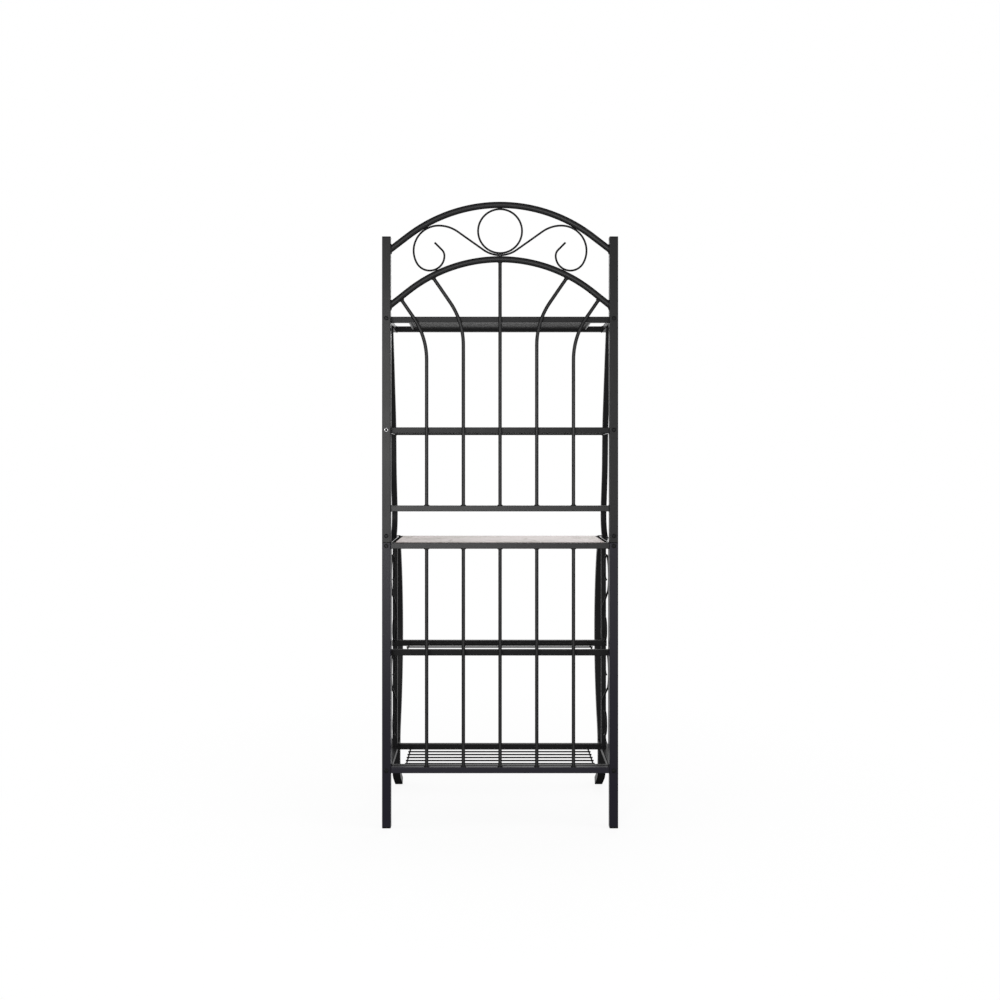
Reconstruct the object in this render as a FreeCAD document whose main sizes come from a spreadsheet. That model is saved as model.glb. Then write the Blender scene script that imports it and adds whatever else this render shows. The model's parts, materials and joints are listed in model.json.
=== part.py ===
"""Bakers rack: a free-standing steel rack with a crested rear frame and a worktop.

An upper frame of two posts, two arches, scrollwork and a grille of rods stands on a
lower frame of two posts and two cabriole front legs.  Three wire shelves, a small
middle shelf and a board worktop join the two sides.

Rack coordinates: X runs across the rack from its middle, Y forwards and Z up from the
floor.  In the sheet, a depth is measured forwards from the rear faces of the posts and
a height from the floor.  Millimetres and degrees.
"""
import FreeCAD, Part
import math
import os
import re
import Sketcher

Vector = FreeCAD.Vector
Rotation = FreeCAD.Rotation
Constraint = Sketcher.Constraint

ALONG_X = Rotation(Vector(0, 1, 0), 90)
ALONG_Y = Rotation(Vector(1, 0, 0), -90)
ALONG_Z = Rotation()
RIGHT_ANGLE = 90
HEAD_FLAT = 0.6
SIDES = (("left", -1), ("right", 1))

DRIVING_SIZES = (
    # rear posts
    ("rack_width", 600, "over the outer faces of the posts"),
    ("post_side", 22, "square post tube"),
    ("post_wall", 1, "wall of the post tube"),
    ("post_corner", 2, "outer corner radius of the post tube"),
    ("frame_split", 726, "height where the upper posts stand on the lower ones"),
    ("post_top", 1504, "height over the post caps"),
    # square bars of the frames and shelves
    ("bar_side", 15, "square tube of rails, shelf bars and bows"),
    ("bar_wall", 0.9, "wall of the bars"),
    ("bar_corner", 1.5, "outer corner radius of the bars"),
    ("upright_side", 13, "square tube of the side uprights"),
    ("weld_gap", 0.2, "room for the weld bead between round members"),
    # crest and grille of the rear frame
    ("arch_tube", 16, "diameter of the arch tube"),
    ("arch_wall", 1, "wall of the arch tube"),
    ("arch_bend_half", 235, "half width of the bend, whose ends run on straight"),
    ("outer_arch_radius", 386.5, "centreline radius of the outer arch"),
    ("outer_arch_apex", 1586.3, "centreline height of the outer arch"),
    ("inner_arch_radius", 378, "centreline radius of the inner arch"),
    ("inner_arch_apex", 1447.7, "centreline height of the inner arch"),
    ("wire", 5, "diameter of the scroll wire"),
    ("rod_diameter", 9, "diameter of the grille rods"),
    ("rod_margin", 90.8, "outer rod to post, centre to inner face"),
    ("rod_bend_radius", 193, "centreline radius where an upper rod leans out"),
    ("rod_bend_turn", 34.5, "angle that an upper rod leans out"),
    ("inner_rod_bend", 1229, "height where the bend of an inner rod starts"),
    ("outer_rod_bend", 1191, "height where the bend of an outer rod starts"),
    ("rail_gap", 80, "gap from the worktop rails up to the rail that carries the rods"),
    # crest scrolls, from the foot of the ring outwards
    ("crest_rise_radius", 73, "curve out of the middle"),
    ("crest_rise_turn", 35.3, "slope of the rising run"),
    ("crest_brow_radius", 84, "curve over the top"),
    ("crest_loop_radius", 64, "outer curve of the loop"),
    ("crest_curl_radius", 37.5, "inner curve of the loop"),
    ("crest_hook_radius", 22, "last tight curve"),
    ("crest_hook_turn", 45, "angle of the last tight curve"),
    ("crest_tail", 26, "straight end of the scroll"),
    # bows that carry the upper shelves
    ("bow_lean", 18.5, "forward lean of the bow under the top shelf"),
    ("bow_waist_lean", 5, "forward lean of the bow under the second shelf"),
    ("bow_top_depth", 109, "centre of the bow under the top shelf"),
    ("bow_upper_run", 226, "straight of the bow under the top shelf"),
    ("bow_radius", 340, "gentle bend of the bow at the second shelf"),
    ("bow_waist_run", 60, "straight of the bow under the second shelf"),
    ("bow_knee_radius", 300, "bend of the bow out to its knee"),
    ("bow_knee_turn", 11, "turn of the bow out to its knee"),
    ("bow_knee_run", 80, "straight of the bow above its knee"),
    ("bow_foot_radius", 67, "tight bend above the foot of the bow"),
    ("bow_foot_turn", 73, "turn of the foot of the bow"),
    # cabriole front legs
    ("leg_side", 22, "square leg tube"),
    ("leg_front", 382.5, "depth of the leg at its bulge"),
    ("leg_bulge_height", 445, "height of the bulge"),
    ("leg_bulge_radius", 469, "centreline radius of the bulge"),
    ("ankle_front", 292, "depth of the front of the ankle"),
    ("ankle_radius", 150, "centreline radius from the bulge into the ankle"),
    ("foot_bend_height", 95, "height where the foot starts to bend out"),
    ("foot_radius", 62, "centreline radius of the foot"),
    ("foot_turn", 60, "angle that the foot turns out"),
    ("foot_run", 55, "straight of the foot before its boot"),
    ("boot_length", 10.5, "plastic boot past the end of the foot tube"),
    # lower side frames
    ("side_rail_height", 15, "height of the lower side rails, as wide as a post"),
    ("upright_depth", 190, "rear face of the middle uprights"),
    ("scroll_height", 570, "centre of the upper side scrolls"),
    ("scroll_pitch", 250, "drop from the upper to the lower side scrolls"),
    ("scroll_slope", 25, "slope of the run between the two loops"),
    ("scroll_loop_radius", 50, "outer curve of a side scroll"),
    ("scroll_loop_turn", 200, "turn of the outer curve"),
    ("scroll_curl_radius", 30, "inner curve of a side scroll"),
    ("scroll_curl_turn", 150, "turn of the inner curve"),
    # shelves: heights of the undersides of the bars, depths of the front faces
    ("top_shelf_height", 1288.3, "underside of the top shelf"),
    ("top_shelf_depth", 219, "front of the top shelf"),
    ("second_shelf_height", 1004.8, "underside of the second shelf"),
    ("second_shelf_depth", 202.5, "front of the second shelf"),
    ("middle_shelf_height", 432.5, "underside of the middle shelf"),
    ("bottom_shelf_height", 139, "underside of the bottom shelf"),
    ("bottom_shelf_depth", 235.5, "front of the bottom shelf"),
    ("shelf_wire", 4, "diameter of the shelf wires"),
    ("wire_pitch", 27.6, "spacing of the long wires"),
    ("middle_wires", 3, "long wires of the middle shelf"),
    ("middle_wire_pitch", 48, "spacing of the long wires of the middle shelf"),
    ("upper_grid_half", 235, "cross wires of the two upper shelves"),
    ("lower_grid_half", 243, "cross wires of the two lower shelves"),
    ("wire_overhang", 3.5, "long wires past the cross wires"),
    ("wire_drop", 2, "cross wires under the middle of the bars"),
    ("wire_bite", 1, "depth that crossing wires are fused"),
    # worktop
    ("worktop_height", 710, "underside of the worktop rails"),
    ("worktop_depth", 271, "front of the worktop rails"),
    ("ledge_width", 10, "side ledges beside the board"),
    ("strip_width", 20, "flat strips under the board"),
    ("strip_thickness", 2, "thickness of the strips"),
    ("strip_spacing", 180, "spacing of the strips"),
    ("board_thickness", 14, "worktop board"),
    ("board_gap", 0.5, "gap round the board"),
    ("board_round", 1, "rounding of the board's top edges"),
    # fasteners and plastic caps
    ("bolt", 6, "shank of the frame bolts"),
    ("bolt_head", 11, "diameter of the bolt heads"),
    ("bolt_head_height", 3.2, "height of the bolt heads"),
    ("bolt_socket", 4, "across the hexagon socket"),
    ("bolt_socket_depth", 2, "depth of the socket"),
    ("bolt_grip", 12, "bolt length in a rail's insert"),
    ("joint_bolt_grip", 8, "bolt length inside the sleeve"),
    ("joint_bolt_rise", 17, "joint bolt above the split"),
    ("bolt_play", 0.3, "gap round a bolt in its hole"),
    ("insert_length", 16, "threaded insert in a rail's end"),
    ("insert_play", 0.15, "gap round an insert and round its bolt"),
    ("sleeve_length", 80, "sleeve inside a post joint"),
    ("sleeve_wall", 1.5, "wall of the sleeve"),
    ("sleeve_play", 0.3, "gap round the sleeve"),
    ("screw", 5, "shank of the middle shelf's screws"),
    ("screw_head", 9, "diameter of the screw heads"),
    ("screw_head_height", 2.6, "height of the screw heads"),
    ("screw_tip", 5, "screw length past the bar that it holds"),
    ("cap_height", 3, "visible height of a cap"),
    ("foot_cap_height", 4, "visible height of a rear foot cap"),
    ("cap_plug", 12, "length of a cap's plug"),
    ("leg_plug", 5, "length of the plug in the sloping top of a leg"),
    ("cap_play", 0.2, "gap round a cap's plug"),
    ("cap_round", 1, "rounding of a cap's edge"),
)

DERIVED_SIZES = (
    ("inner_half", "rack_width / 2 - post_side", "inner faces of the posts"),
    ("post_centre", "rack_width / 2 - post_side / 2", "centre of a post"),
    ("frame_depth", "post_side / 2", "centre plane of the rear frame"),
    ("rear_y", "(bolt_head_height - leg_front) / 2", "rear faces of the posts"),
    ("post_bore", "post_side - 2 * post_wall", "inside of the post tube"),
    ("bar_bore", "bar_side - 2 * bar_wall", "inside of a bar"),
    ("bar_inner_half", "post_centre - bar_side / 2", "inner faces of the upper sides"),
    ("rod_pitch", "(inner_half - rod_margin) / 2", "spacing of the grille rods"),
    ("worktop_top", "worktop_height + side_rail_height", "top of the worktop rails"),
    ("upper_rail_height", "worktop_top + rail_gap", "underside of the upper rods' rail"),
    ("rod_rail_top", "upper_rail_height + bar_side", "seat of the upper rods"),
    ("leg_x", "rack_width / 2 - leg_side / 2", "centre of a leg"),
    ("upright_x", "inner_half + upright_side / 2", "centre of a side upright"),
    ("rear_upright_front", "post_side + upright_side", "front of the rear uprights"),
    ("scroll_x", "inner_half + wire / 2", "centre of the side scrolls"),
    ("bulge_depth", "leg_front - leg_side / 2 - leg_bulge_radius", "centre of the bulge"),
    ("ankle_depth", "ankle_front - leg_side / 2", "centreline of the ankle"),
    ("middle_shelf_depth", "upright_depth", "front of the middle shelf"),
    ("middle_shelf_half", "inner_half + upright_side", "ends of the middle shelf's bars"),
    ("hole", "bolt + 2 * bolt_play", "hole for a frame bolt"),
    ("screw_hole", "screw + 2 * bolt_play", "hole for a shelf screw"),
    ("crest_foot", "inner_arch_apex + arch_tube / 2 + weld_gap + wire / 2",
     "centreline of the scrolls in the middle"),
    ("crest_ring_outer",
     "(outer_arch_apex - arch_tube / 2 - crest_foot - wire / 2) / 2 - weld_gap",
     "outer radius of the crest ring"),
    ("crest_ring_height", "crest_foot + wire / 2 + weld_gap + crest_ring_outer",
     "centre of the crest ring"),
)

os.makedirs("parts", exist_ok=True)
doc = FreeCAD.newDocument("bakers_rack")
sheet = doc.addObject("Spreadsheet::Sheet", "sizes")


# ---------------------------------------------------------------- sheet and expressions

def fill_sheet():
    """Write every size with its alias and its meaning."""
    rows = [(alias, str(size), note) for alias, size, note in DRIVING_SIZES]
    rows += [(alias, "=" + text, note) for alias, text, note in DERIVED_SIZES]
    for row, (alias, content, note) in enumerate(rows, start=1):
        sheet.set(f"A{row}", alias)
        sheet.set(f"B{row}", content)
        sheet.setAlias(f"B{row}", alias)
        sheet.set(f"C{row}", note)
    doc.recompute()
    return {alias for alias, _, _ in rows}


ALIASES = fill_sheet()
WORD = re.compile(r"[a-z_]+")


def in_sheet(text):
    """The expression with every alias named as a cell of the sheet."""
    return WORD.sub(lambda m: "sizes." + m[0] if m[0] in ALIASES else m[0], text)


def number(size):
    """The present value of a number or an expression."""
    if not isinstance(size, str):
        return float(size)
    result = sheet.evalExpression(size)
    return float(getattr(result, "Value", result))


def bind(item, path, size):
    """Tie a property to the sheet, or set it when the size is a plain number."""
    if isinstance(size, str):
        item.setExpression(path, in_sheet(size))
    elif "." in path:
        item.setExpression(path, repr(float(size)))
    else:
        setattr(item, path, size)


def place(item, rotation, x=0, y=0, z=0):
    """Turn an object and bind its base point; y is a depth from the posts' rear."""
    item.Placement = FreeCAD.Placement(Vector(), rotation)
    bind(item, "Placement.Base.x", x)
    bind(item, "Placement.Base.y", f"rear_y + ({y})")
    bind(item, "Placement.Base.z", z)
    return item


def mirrored(side, text):
    """The expression on the left (-1) or on the right (+1) of the rack."""
    return text if side > 0 else f"-({text})"


# ---------------------------------------------------------------- sketches

def new_sketch(body, name, plane):
    """An empty sketch on one of the body's own origin planes."""
    support = {item.Role: item for item in body.Origin.OriginFeatures}[plane]
    sketch = body.newObject("Sketcher::SketchObject", name)
    sketch.AttachmentSupport = [(support, "")]
    sketch.MapMode = "FlatFace"
    return sketch


def dimension(sketch, kind, where, size, name):
    """A named dimension; angles are in degrees."""
    amount = number(size)
    if kind == "Angle":
        amount = math.radians(amount)
    index = sketch.addConstraint(Constraint(kind, *where, amount))
    sketch.renameConstraint(index, name)
    if isinstance(size, str):
        sketch.setExpression(f".Constraints.{name}", in_sheet(size))


def draw_rectangle(sketch, name, width, height, corner=None):
    """A rectangle about the sketch's origin, with rounded corners if asked."""
    half_w = number(width) / 2
    half_h = number(height) / 2
    round_off = number(corner) if corner else 0
    first = sketch.GeometryCount
    spots = ((1, 1), (-1, 1), (-1, -1), (1, -1))
    points = [Vector(sx * half_w, sy * half_h, 0) for sx, sy in spots]
    for index in range(4):
        start, end = points[index], points[(index + 1) % 4]
        step = (end - start).normalize() * round_off
        sketch.addGeometry(Part.LineSegment(start + step, end - step), False)
    if corner:
        for index, (sx, sy) in enumerate(spots):
            centre = Vector(sx * (half_w - round_off), sy * (half_h - round_off), 0)
            circle = Part.Circle(centre, Vector(0, 0, 1), round_off)
            begin = math.radians(90 * index)
            arc = Part.ArcOfCircle(circle, begin, begin + math.pi / 2)
            sketch.addGeometry(arc, False)
            sketch.addConstraint(Constraint("Tangent", first + 4 + index, 2, first + index, 1))
            before = first + (index + 3) % 4
            sketch.addConstraint(Constraint("Tangent", before, 2, first + 4 + index, 1))
        for index in range(1, 4):
            sketch.addConstraint(Constraint("Equal", first + 4, first + 4 + index))
        dimension(sketch, "Radius", (first + 4,), corner, name + "_corner")
        symmetric = (first + 4, 3, first + 6, 3, -1, 1)
    else:
        for index in range(4):
            after = first + (index + 1) % 4
            sketch.addConstraint(Constraint("Coincident", first + index, 2, after, 1))
        symmetric = (first, 1, first + 2, 1, -1, 1)
    for index, kind in enumerate(("Horizontal", "Vertical", "Horizontal", "Vertical")):
        sketch.addConstraint(Constraint(kind, first + index))
    sketch.addConstraint(Constraint("Symmetric", *symmetric))
    dimension(sketch, "DistanceX", (first + 1, 1, first + 3, 1), width, name + "_width")
    dimension(sketch, "DistanceY", (first + 2, 1, first, 1), height, name + "_height")


def draw_circle(sketch, name, diameter, x=0, y=0):
    """A circle at a place in the sketch."""
    centre = Vector(number(x), number(y), 0)
    circle = Part.Circle(centre, Vector(0, 0, 1), number(diameter) / 2)
    index = sketch.addGeometry(circle, False)
    dimension(sketch, "Diameter", (index,), diameter, name + "_diameter")
    if number(x) or isinstance(x, str):
        dimension(sketch, "DistanceX", (-1, 1, index, 3), x, name + "_x")
    else:
        sketch.addConstraint(Constraint("PointOnObject", index, 3, -2))
    if number(y) or isinstance(y, str):
        dimension(sketch, "DistanceY", (-1, 1, index, 3), y, name + "_y")
    else:
        sketch.addConstraint(Constraint("PointOnObject", index, 3, -1))


def draw_path(sketch, start, heading, steps):
    """Straight runs and tangent bends, one after another, from a start and a heading.

    A step is ("run", length) or ("bend", radius, turn, side), where side is 1 to the
    left and -1 to the right of the way the path goes.
    """
    point = Vector(number(start[0]), number(start[1]), 0)
    angle = math.radians(number(heading))
    ends = []
    for step in steps:
        way = Vector(math.cos(angle), math.sin(angle), 0)
        if step[0] == "run":
            finish = point + way * number(step[1])
            index = sketch.addGeometry(Part.LineSegment(point, finish), False)
            ends.append((index, 1, 2))
            dimension(sketch, "Distance", (index,), step[1], f"run_{index}")
        else:
            radius, turn, side = number(step[1]), math.radians(number(step[2])), step[3]
            centre = point + Vector(-way.y, way.x, 0) * (radius * side)
            begin = angle - side * math.pi / 2
            finish_at = begin + side * turn
            circle = Part.Circle(centre, Vector(0, 0, 1), radius)
            arc = Part.ArcOfCircle(circle, min(begin, finish_at), max(begin, finish_at))
            index = sketch.addGeometry(arc, False)
            ends.append((index, 1, 2) if side > 0 else (index, 2, 1))
            finish = centre + Vector(math.cos(finish_at), math.sin(finish_at), 0) * radius
            angle += side * turn
            dimension(sketch, "Radius", (index,), step[1], f"radius_{index}")
            dimension(sketch, "Angle", (index,), step[2], f"turn_{index}")
        point = finish
    for (index, _, last), (after, first, _) in zip(ends, ends[1:]):
        sketch.addConstraint(Constraint("Tangent", index, last, after, first))
    first_edge, first_point, _ = ends[0]
    dimension(sketch, "DistanceX", (-1, 1, first_edge, first_point), start[0], "start_x")
    dimension(sketch, "DistanceY", (-1, 1, first_edge, first_point), start[1], "start_y")
    if steps[0][0] == "run":
        dimension(sketch, "Angle", (first_edge,), heading, "heading")
    else:
        aim_first_bend(sketch, first_edge, first_point, heading, steps[0][3])
    return [f"Edge{index + 1}" for index in range(len(steps))]


def aim_first_bend(sketch, edge, start_point, heading, side):
    """Hold the way a path starts, by the line from its start to the bend's centre."""
    arc = sketch.Geometry[edge]
    start = arc.StartPoint if start_point == 1 else arc.EndPoint
    line = sketch.addGeometry(Part.LineSegment(start, arc.Center), True)
    sketch.addConstraint(Constraint("Coincident", line, 1, edge, start_point))
    sketch.addConstraint(Constraint("Coincident", line, 2, edge, 3))
    quarter = f"{heading} + {90 * side}" if isinstance(heading, str) else heading + 90 * side
    dimension(sketch, "Angle", (line,), quarter, "heading")


# ---------------------------------------------------------------- pieces

def drill(body, name, holes, diameter, way="both"):
    """Round holes along a body's own Y, at heights on its axis.

    They go through both walls, or only through the rear (-Y) or the front (+Y) one.
    """
    sketch = new_sketch(body, name, "XZ_Plane")
    for index, height in enumerate(holes):
        draw_circle(sketch, f"hole_{index}", diameter, 0, height)
    pocket = body.newObject("PartDesign::Pocket", name + "_cut")
    pocket.Profile = sketch
    pocket.Midplane = way == "both"
    pocket.Reversed = way == "rear"
    pocket.Type = "ThroughAll"


def straight_tube(label, width, height, corner, wall, length, rotation, x, y, z):
    """A hollow bar: its rounded section padded along its length."""
    body = doc.addObject("PartDesign::Body", label)
    section = new_sketch(body, label + "_section", "XY_Plane")
    draw_rectangle(section, "outer", width, height, corner)
    draw_rectangle(section, "inner", f"{width} - 2 * {wall}", f"{height} - 2 * {wall}")
    pad = body.newObject("PartDesign::Pad", label + "_pad")
    pad.Profile = section
    bind(pad, "Length", length)
    return place(body, rotation, x, y, z)


def bar(label, length, rotation, x, y, z):
    """One of the square bars that the rails and shelves are made of."""
    return straight_tube(label, "bar_side", "bar_side", "bar_corner", "bar_wall",
                         length, rotation, x, y, z)


def cross_bar(label, half, y, z):
    """A bar across the rack; y is its centre's depth and z its underside."""
    return bar(label, f"2 * ({half})", ALONG_X, f"-({half})", y, f"{z} + bar_side / 2")


def bent_tube(label, plane, start, heading, steps, draw_section, x, y=0):
    """A tube swept along a flat path, in the side plane (YZ) or the rear plane (XZ)."""
    body = doc.addObject("PartDesign::Body", label)
    path = new_sketch(body, label + "_path", plane)
    edges = draw_path(path, start, heading, steps)
    section = new_sketch(body, label + "_section", "XY_Plane")
    draw_section(section)
    if plane == "YZ_Plane":
        axis, angle, across = Vector(1, 0, 0), "({}) - 90", "y"
    else:
        axis, angle, across = Vector(0, 1, 0), "90 - ({})", "x"
    section.AttachmentOffset = FreeCAD.Placement(Vector(), Rotation(axis, 1))
    bind(section, "AttachmentOffset.Base." + across, start[0])
    bind(section, "AttachmentOffset.Base.z", start[1])
    bind(section, "AttachmentOffset.Rotation.Angle", angle.format(heading))
    pipe = body.newObject("PartDesign::AdditivePipe", label + "_sweep")
    pipe.Profile = section
    pipe.Spine = (path, edges)
    return place(body, ALONG_Z, x, y, 0)


def hollow_square(side, corner, wall):
    """A function that draws the section of a square tube."""
    def draw(sketch):
        draw_rectangle(sketch, "outer", side, side, corner)
        draw_rectangle(sketch, "inner", f"{side} - 2 * {wall}", f"{side} - 2 * {wall}")
    return draw


def solid_square(side, corner):
    """A function that draws the outline of a square tube."""
    return lambda sketch: draw_rectangle(sketch, "outer", side, side, corner)


def hollow_round(diameter, wall):
    """A function that draws the section of a round tube."""
    def draw(sketch):
        draw_circle(sketch, "outer", diameter)
        draw_circle(sketch, "inner", f"{diameter} - 2 * {wall}")
    return draw


def solid_round(diameter):
    """A function that draws the section of a rod or wire."""
    return lambda sketch: draw_circle(sketch, "outer", diameter)


def box(label, length, width, height, x, y, z):
    """A box with one corner at x, y, z."""
    item = doc.addObject("Part::Box", label)
    bind(item, "Length", length)
    bind(item, "Width", width)
    bind(item, "Height", height)
    return place(item, ALONG_Z, x, y, z)


def combine(kind, label, base, tool):
    """A boolean of two objects: Part::Cut or Part::Common."""
    item = doc.addObject(kind, label)
    item.Base = base
    item.Tool = tool
    return item


def group(label, members):
    """Separate solids that share one node."""
    item = doc.addObject("Part::Compound", label)
    item.Links = members
    return item


def copy_of(template, label, rotation, x, y, z):
    """Another one of a template, somewhere else."""
    link = doc.addObject("App::Link", label)
    link.LinkedObject = template
    link.LinkTransform = True
    return place(link, rotation, x, y, z)


# ---------------------------------------------------------------- rear frame

def make_posts():
    """Upper and lower posts, drilled for the bolts that hold the side rails."""
    upper_holes = ("second_shelf_height + bar_side / 2", "top_shelf_height + bar_side / 2")
    lower_holes = ("worktop_height + side_rail_height / 2",
                   "bottom_shelf_height + side_rail_height / 2")
    spans = (("upper", "frame_split", "post_top - cap_height", upper_holes),
             ("lower", "foot_cap_height", "frame_split", lower_holes))
    posts = []
    for name, side in SIDES:
        for level, low, high, holes in spans:
            label = f"{level}_post_{name}"
            post = straight_tube(label, "post_side", "post_side", "post_corner",
                                 "post_wall", f"{high} - {low}", ALONG_Z,
                                 mirrored(side, "post_centre"), "post_side / 2", low)
            drill(post, label + "_bolts", [f"{hole} - {low}" for hole in holes], "hole")
            if level == "upper":
                drill(post, label + "_joint", ["joint_bolt_rise"], "hole", "rear")
            posts.append(post)
    return posts


def arch_bar(label, name, draw_section):
    """The bent bar of an arch: a wide bend whose two ends run on straight."""
    radius, apex = f"{name}_arch_radius", f"{name}_arch_apex"
    turn = f"(asin(arch_bend_half / {radius}) / 1 deg)"
    run = f"(inner_half + arch_tube - arch_bend_half) / cos({turn})"
    rise = f"{radius} * (1 - cos({turn})) + ({run}) * sin({turn})"
    steps = [("run", run), ("bend", radius, f"2 * {turn}", -1), ("run", run)]
    return bent_tube(label, "XZ_Plane", ("-inner_half - arch_tube", f"{apex} - ({rise})"),
                     turn, steps, draw_section, 0, "frame_depth")


def make_arch(name):
    """An arch of round tube whose ends are cut flat against the posts."""
    label = name + "_arch"
    tube = arch_bar(label + "_tube", name, hollow_round("arch_tube", "arch_wall"))
    window = box(label + "_window", "2 * inner_half", "post_side", f"{label}_radius",
                 "-inner_half", 0, f"{label}_apex + arch_tube - {label}_radius")
    return combine("Part::Common", label, tube, window)


def make_crest_ring():
    """The ring between the two arches."""
    ring = doc.addObject("Part::Torus", "crest_ring")
    bind(ring, "Radius1", "crest_ring_outer - wire / 2")
    bind(ring, "Radius2", "wire / 2")
    return place(ring, Rotation(Vector(1, 0, 0), RIGHT_ANGLE), 0, "frame_depth",
                 "crest_ring_height")


def root(offset, way, reach):
    """The distance along way from offset to a point at reach from the origin."""
    lean = offset.dot(way)
    return -lean + math.sqrt(lean * lean - offset.dot(offset) + reach * reach)


def crest_solution():
    """The rising run and the loop's turn that let a scroll touch both arches.

    Worked out on the right-hand scroll: the loop's outer curve lies just inside the outer
    arch, and its inner curve just above the inner arch.
    """
    gap = number("weld_gap + wire / 2 + arch_tube / 2")
    rise = math.radians(number("crest_rise_turn"))
    loop, curl = number("crest_loop_radius"), number("crest_curl_radius")
    bends = number("crest_rise_radius + crest_brow_radius")
    slope = Vector(math.cos(rise), math.sin(rise), 0)
    start = Vector(bends * slope.y, bends * (1 - slope.x) + number("crest_foot") - loop, 0)
    outer_middle = Vector(0, number("outer_arch_apex - outer_arch_radius"), 0)
    run = root(start - outer_middle, slope, number("outer_arch_radius") - gap - loop)
    middle = start + slope * run - Vector(0, number("inner_arch_apex - inner_arch_radius"), 0)
    reach, step = number("inner_arch_radius") + gap + curl, loop - curl
    toward = (reach ** 2 - middle.Length ** 2 - step ** 2) / (2 * step * middle.Length)
    below = math.acos(toward) - math.atan2(middle.y, middle.x)
    return run, RIGHT_ANGLE + math.degrees(below)


def make_crest_scroll(name, side):
    """An S of wire from under the ring to a loop that touches both arches."""
    run, loop_turn = crest_solution()
    steps = [("bend", "crest_rise_radius", "crest_rise_turn", side),
             ("run", run),
             ("bend", "crest_brow_radius", "crest_rise_turn", -side),
             ("bend", "crest_loop_radius", loop_turn, -side),
             ("bend", "crest_curl_radius", 3 * RIGHT_ANGLE - loop_turn, -side),
             ("bend", "crest_hook_radius", "crest_hook_turn", -side),
             ("run", "crest_tail")]
    start = (mirrored(side, "weld_gap"), "crest_foot")
    return bent_tube(f"crest_scroll_{name}", "XZ_Plane", start, 0 if side > 0 else 180,
                     steps, solid_round("wire"), 0, "frame_depth")


def lean_run(x, bend_height):
    """The straight from an upper rod's bend to the inner arch's centreline."""
    radius, turn = number("rod_bend_radius"), math.radians(number("rod_bend_turn"))
    across = number(x) + radius * (1 - math.cos(turn))
    up = number(bend_height) + radius * math.sin(turn)
    middle = Vector(across, up - number("inner_arch_apex - inner_arch_radius"), 0)
    return root(middle, Vector(math.sin(turn), math.cos(turn), 0),
                number("inner_arch_radius"))


def make_upper_rods():
    """Five rods from the rail to the inner arch, the outer four leaning outwards."""
    saddle = arch_bar("rod_saddle", "inner", solid_round("arch_tube + 2 * weld_gap"))
    rods = [rod("centre_rod_blank", 0, "rod_rail_top", "inner_arch_apex")]
    labels = ["upper_rod_centre"]
    for name, side in SIDES:
        for place_name, count in (("inner", 1), ("outer", 2)):
            x, bend_height = f"{count} * rod_pitch", place_name + "_rod_bend"
            steps = [("run", f"{bend_height} - rod_rail_top"),
                     ("bend", "rod_bend_radius", "rod_bend_turn", -side),
                     ("run", lean_run(x, bend_height))]
            label = f"upper_rod_{place_name}_{name}"
            start = (mirrored(side, x), "rod_rail_top")
            blank = bent_tube(label + "_blank", "XZ_Plane", start, RIGHT_ANGLE, steps,
                              solid_round("rod_diameter"), 0, "frame_depth")
            rods.append(blank)
            labels.append(label)
    return [combine("Part::Cut", label, blank, saddle) for label, blank in zip(labels, rods)]


def rod(label, x, low, high):
    """An upright rod in the rear frame."""
    item = doc.addObject("Part::Cylinder", label)
    bind(item, "Radius", "rod_diameter / 2")
    bind(item, "Height", f"{high} - ({low})")
    return place(item, ALONG_Z, x, "frame_depth", low)


def make_lower_rods():
    """Five straight rods between the bottom rail and the worktop."""
    names = ("outer_left", "inner_left", "centre", "inner_right", "outer_right")
    return [rod(f"lower_rod_{name}", f"{count} * rod_pitch",
                "bottom_shelf_height + bar_side", "worktop_height")
            for count, name in zip(range(-2, 3), names)]


def make_rear_rails():
    """The three rails across the rear frame."""
    rails = (("upper_rear_rail", "upper_rail_height"),
             ("worktop_rear_rail", "worktop_height"),
             ("bottom_rear_rail", "bottom_shelf_height"))
    return [cross_bar(label, "inner_half", "frame_depth", z) for label, z in rails]


# ---------------------------------------------------------------- side frames

def make_bow(label, side, draw_section):
    """A bow from the side rail of the worktop up to the top shelf."""
    margin = "bar_side"
    steps = [("run", f"bow_upper_run + {margin}"),
             ("bend", "bow_radius", "bow_lean - bow_waist_lean", -1),
             ("run", "bow_waist_run"),
             ("bend", "bow_knee_radius", "bow_knee_turn", 1),
             ("run", "bow_knee_run"),
             ("bend", "bow_foot_radius", "bow_foot_turn", -1),
             ("run", f"2 * {margin}")]
    start = (f"bow_top_depth - {margin} * sin(bow_lean)",
             f"top_shelf_height + {margin} * cos(bow_lean)")
    return bent_tube(label, "YZ_Plane", start, "bow_lean - 90", steps, draw_section,
                     mirrored(side, "post_centre"))


def make_leg(label, side, draw_section):
    """A cabriole leg: a forward bulge, a straight ankle and a foot turned out."""
    top = number("worktop_top + leg_side")
    bulge, centre = number("leg_bulge_radius"), number("leg_bulge_height")
    above = math.degrees(math.asin((top - centre) / bulge))
    below = math.degrees(math.acos(number(
        "(ankle_depth + ankle_radius - bulge_depth) / (leg_bulge_radius + ankle_radius)")))
    drop = centre - (bulge + number("ankle_radius")) * math.sin(math.radians(below))
    steps = [("bend", "leg_bulge_radius", above + below, -1),
             ("bend", "ankle_radius", below, 1),
             ("run", drop - number("foot_bend_height")),
             ("bend", "foot_radius", "foot_turn", 1),
             ("run", "foot_run")]
    start = (number("bulge_depth") + bulge * math.cos(math.radians(above)), top)
    return bent_tube(label, "YZ_Plane", start, above - 90, steps, draw_section,
                     mirrored(side, "leg_x"))


def slab(label, low, high):
    """Everything between two heights."""
    return box(label, "2 * rack_width", "2 * rack_width", f"{high} - ({low})",
               "-rack_width", "-rack_width / 2", low)


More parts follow.
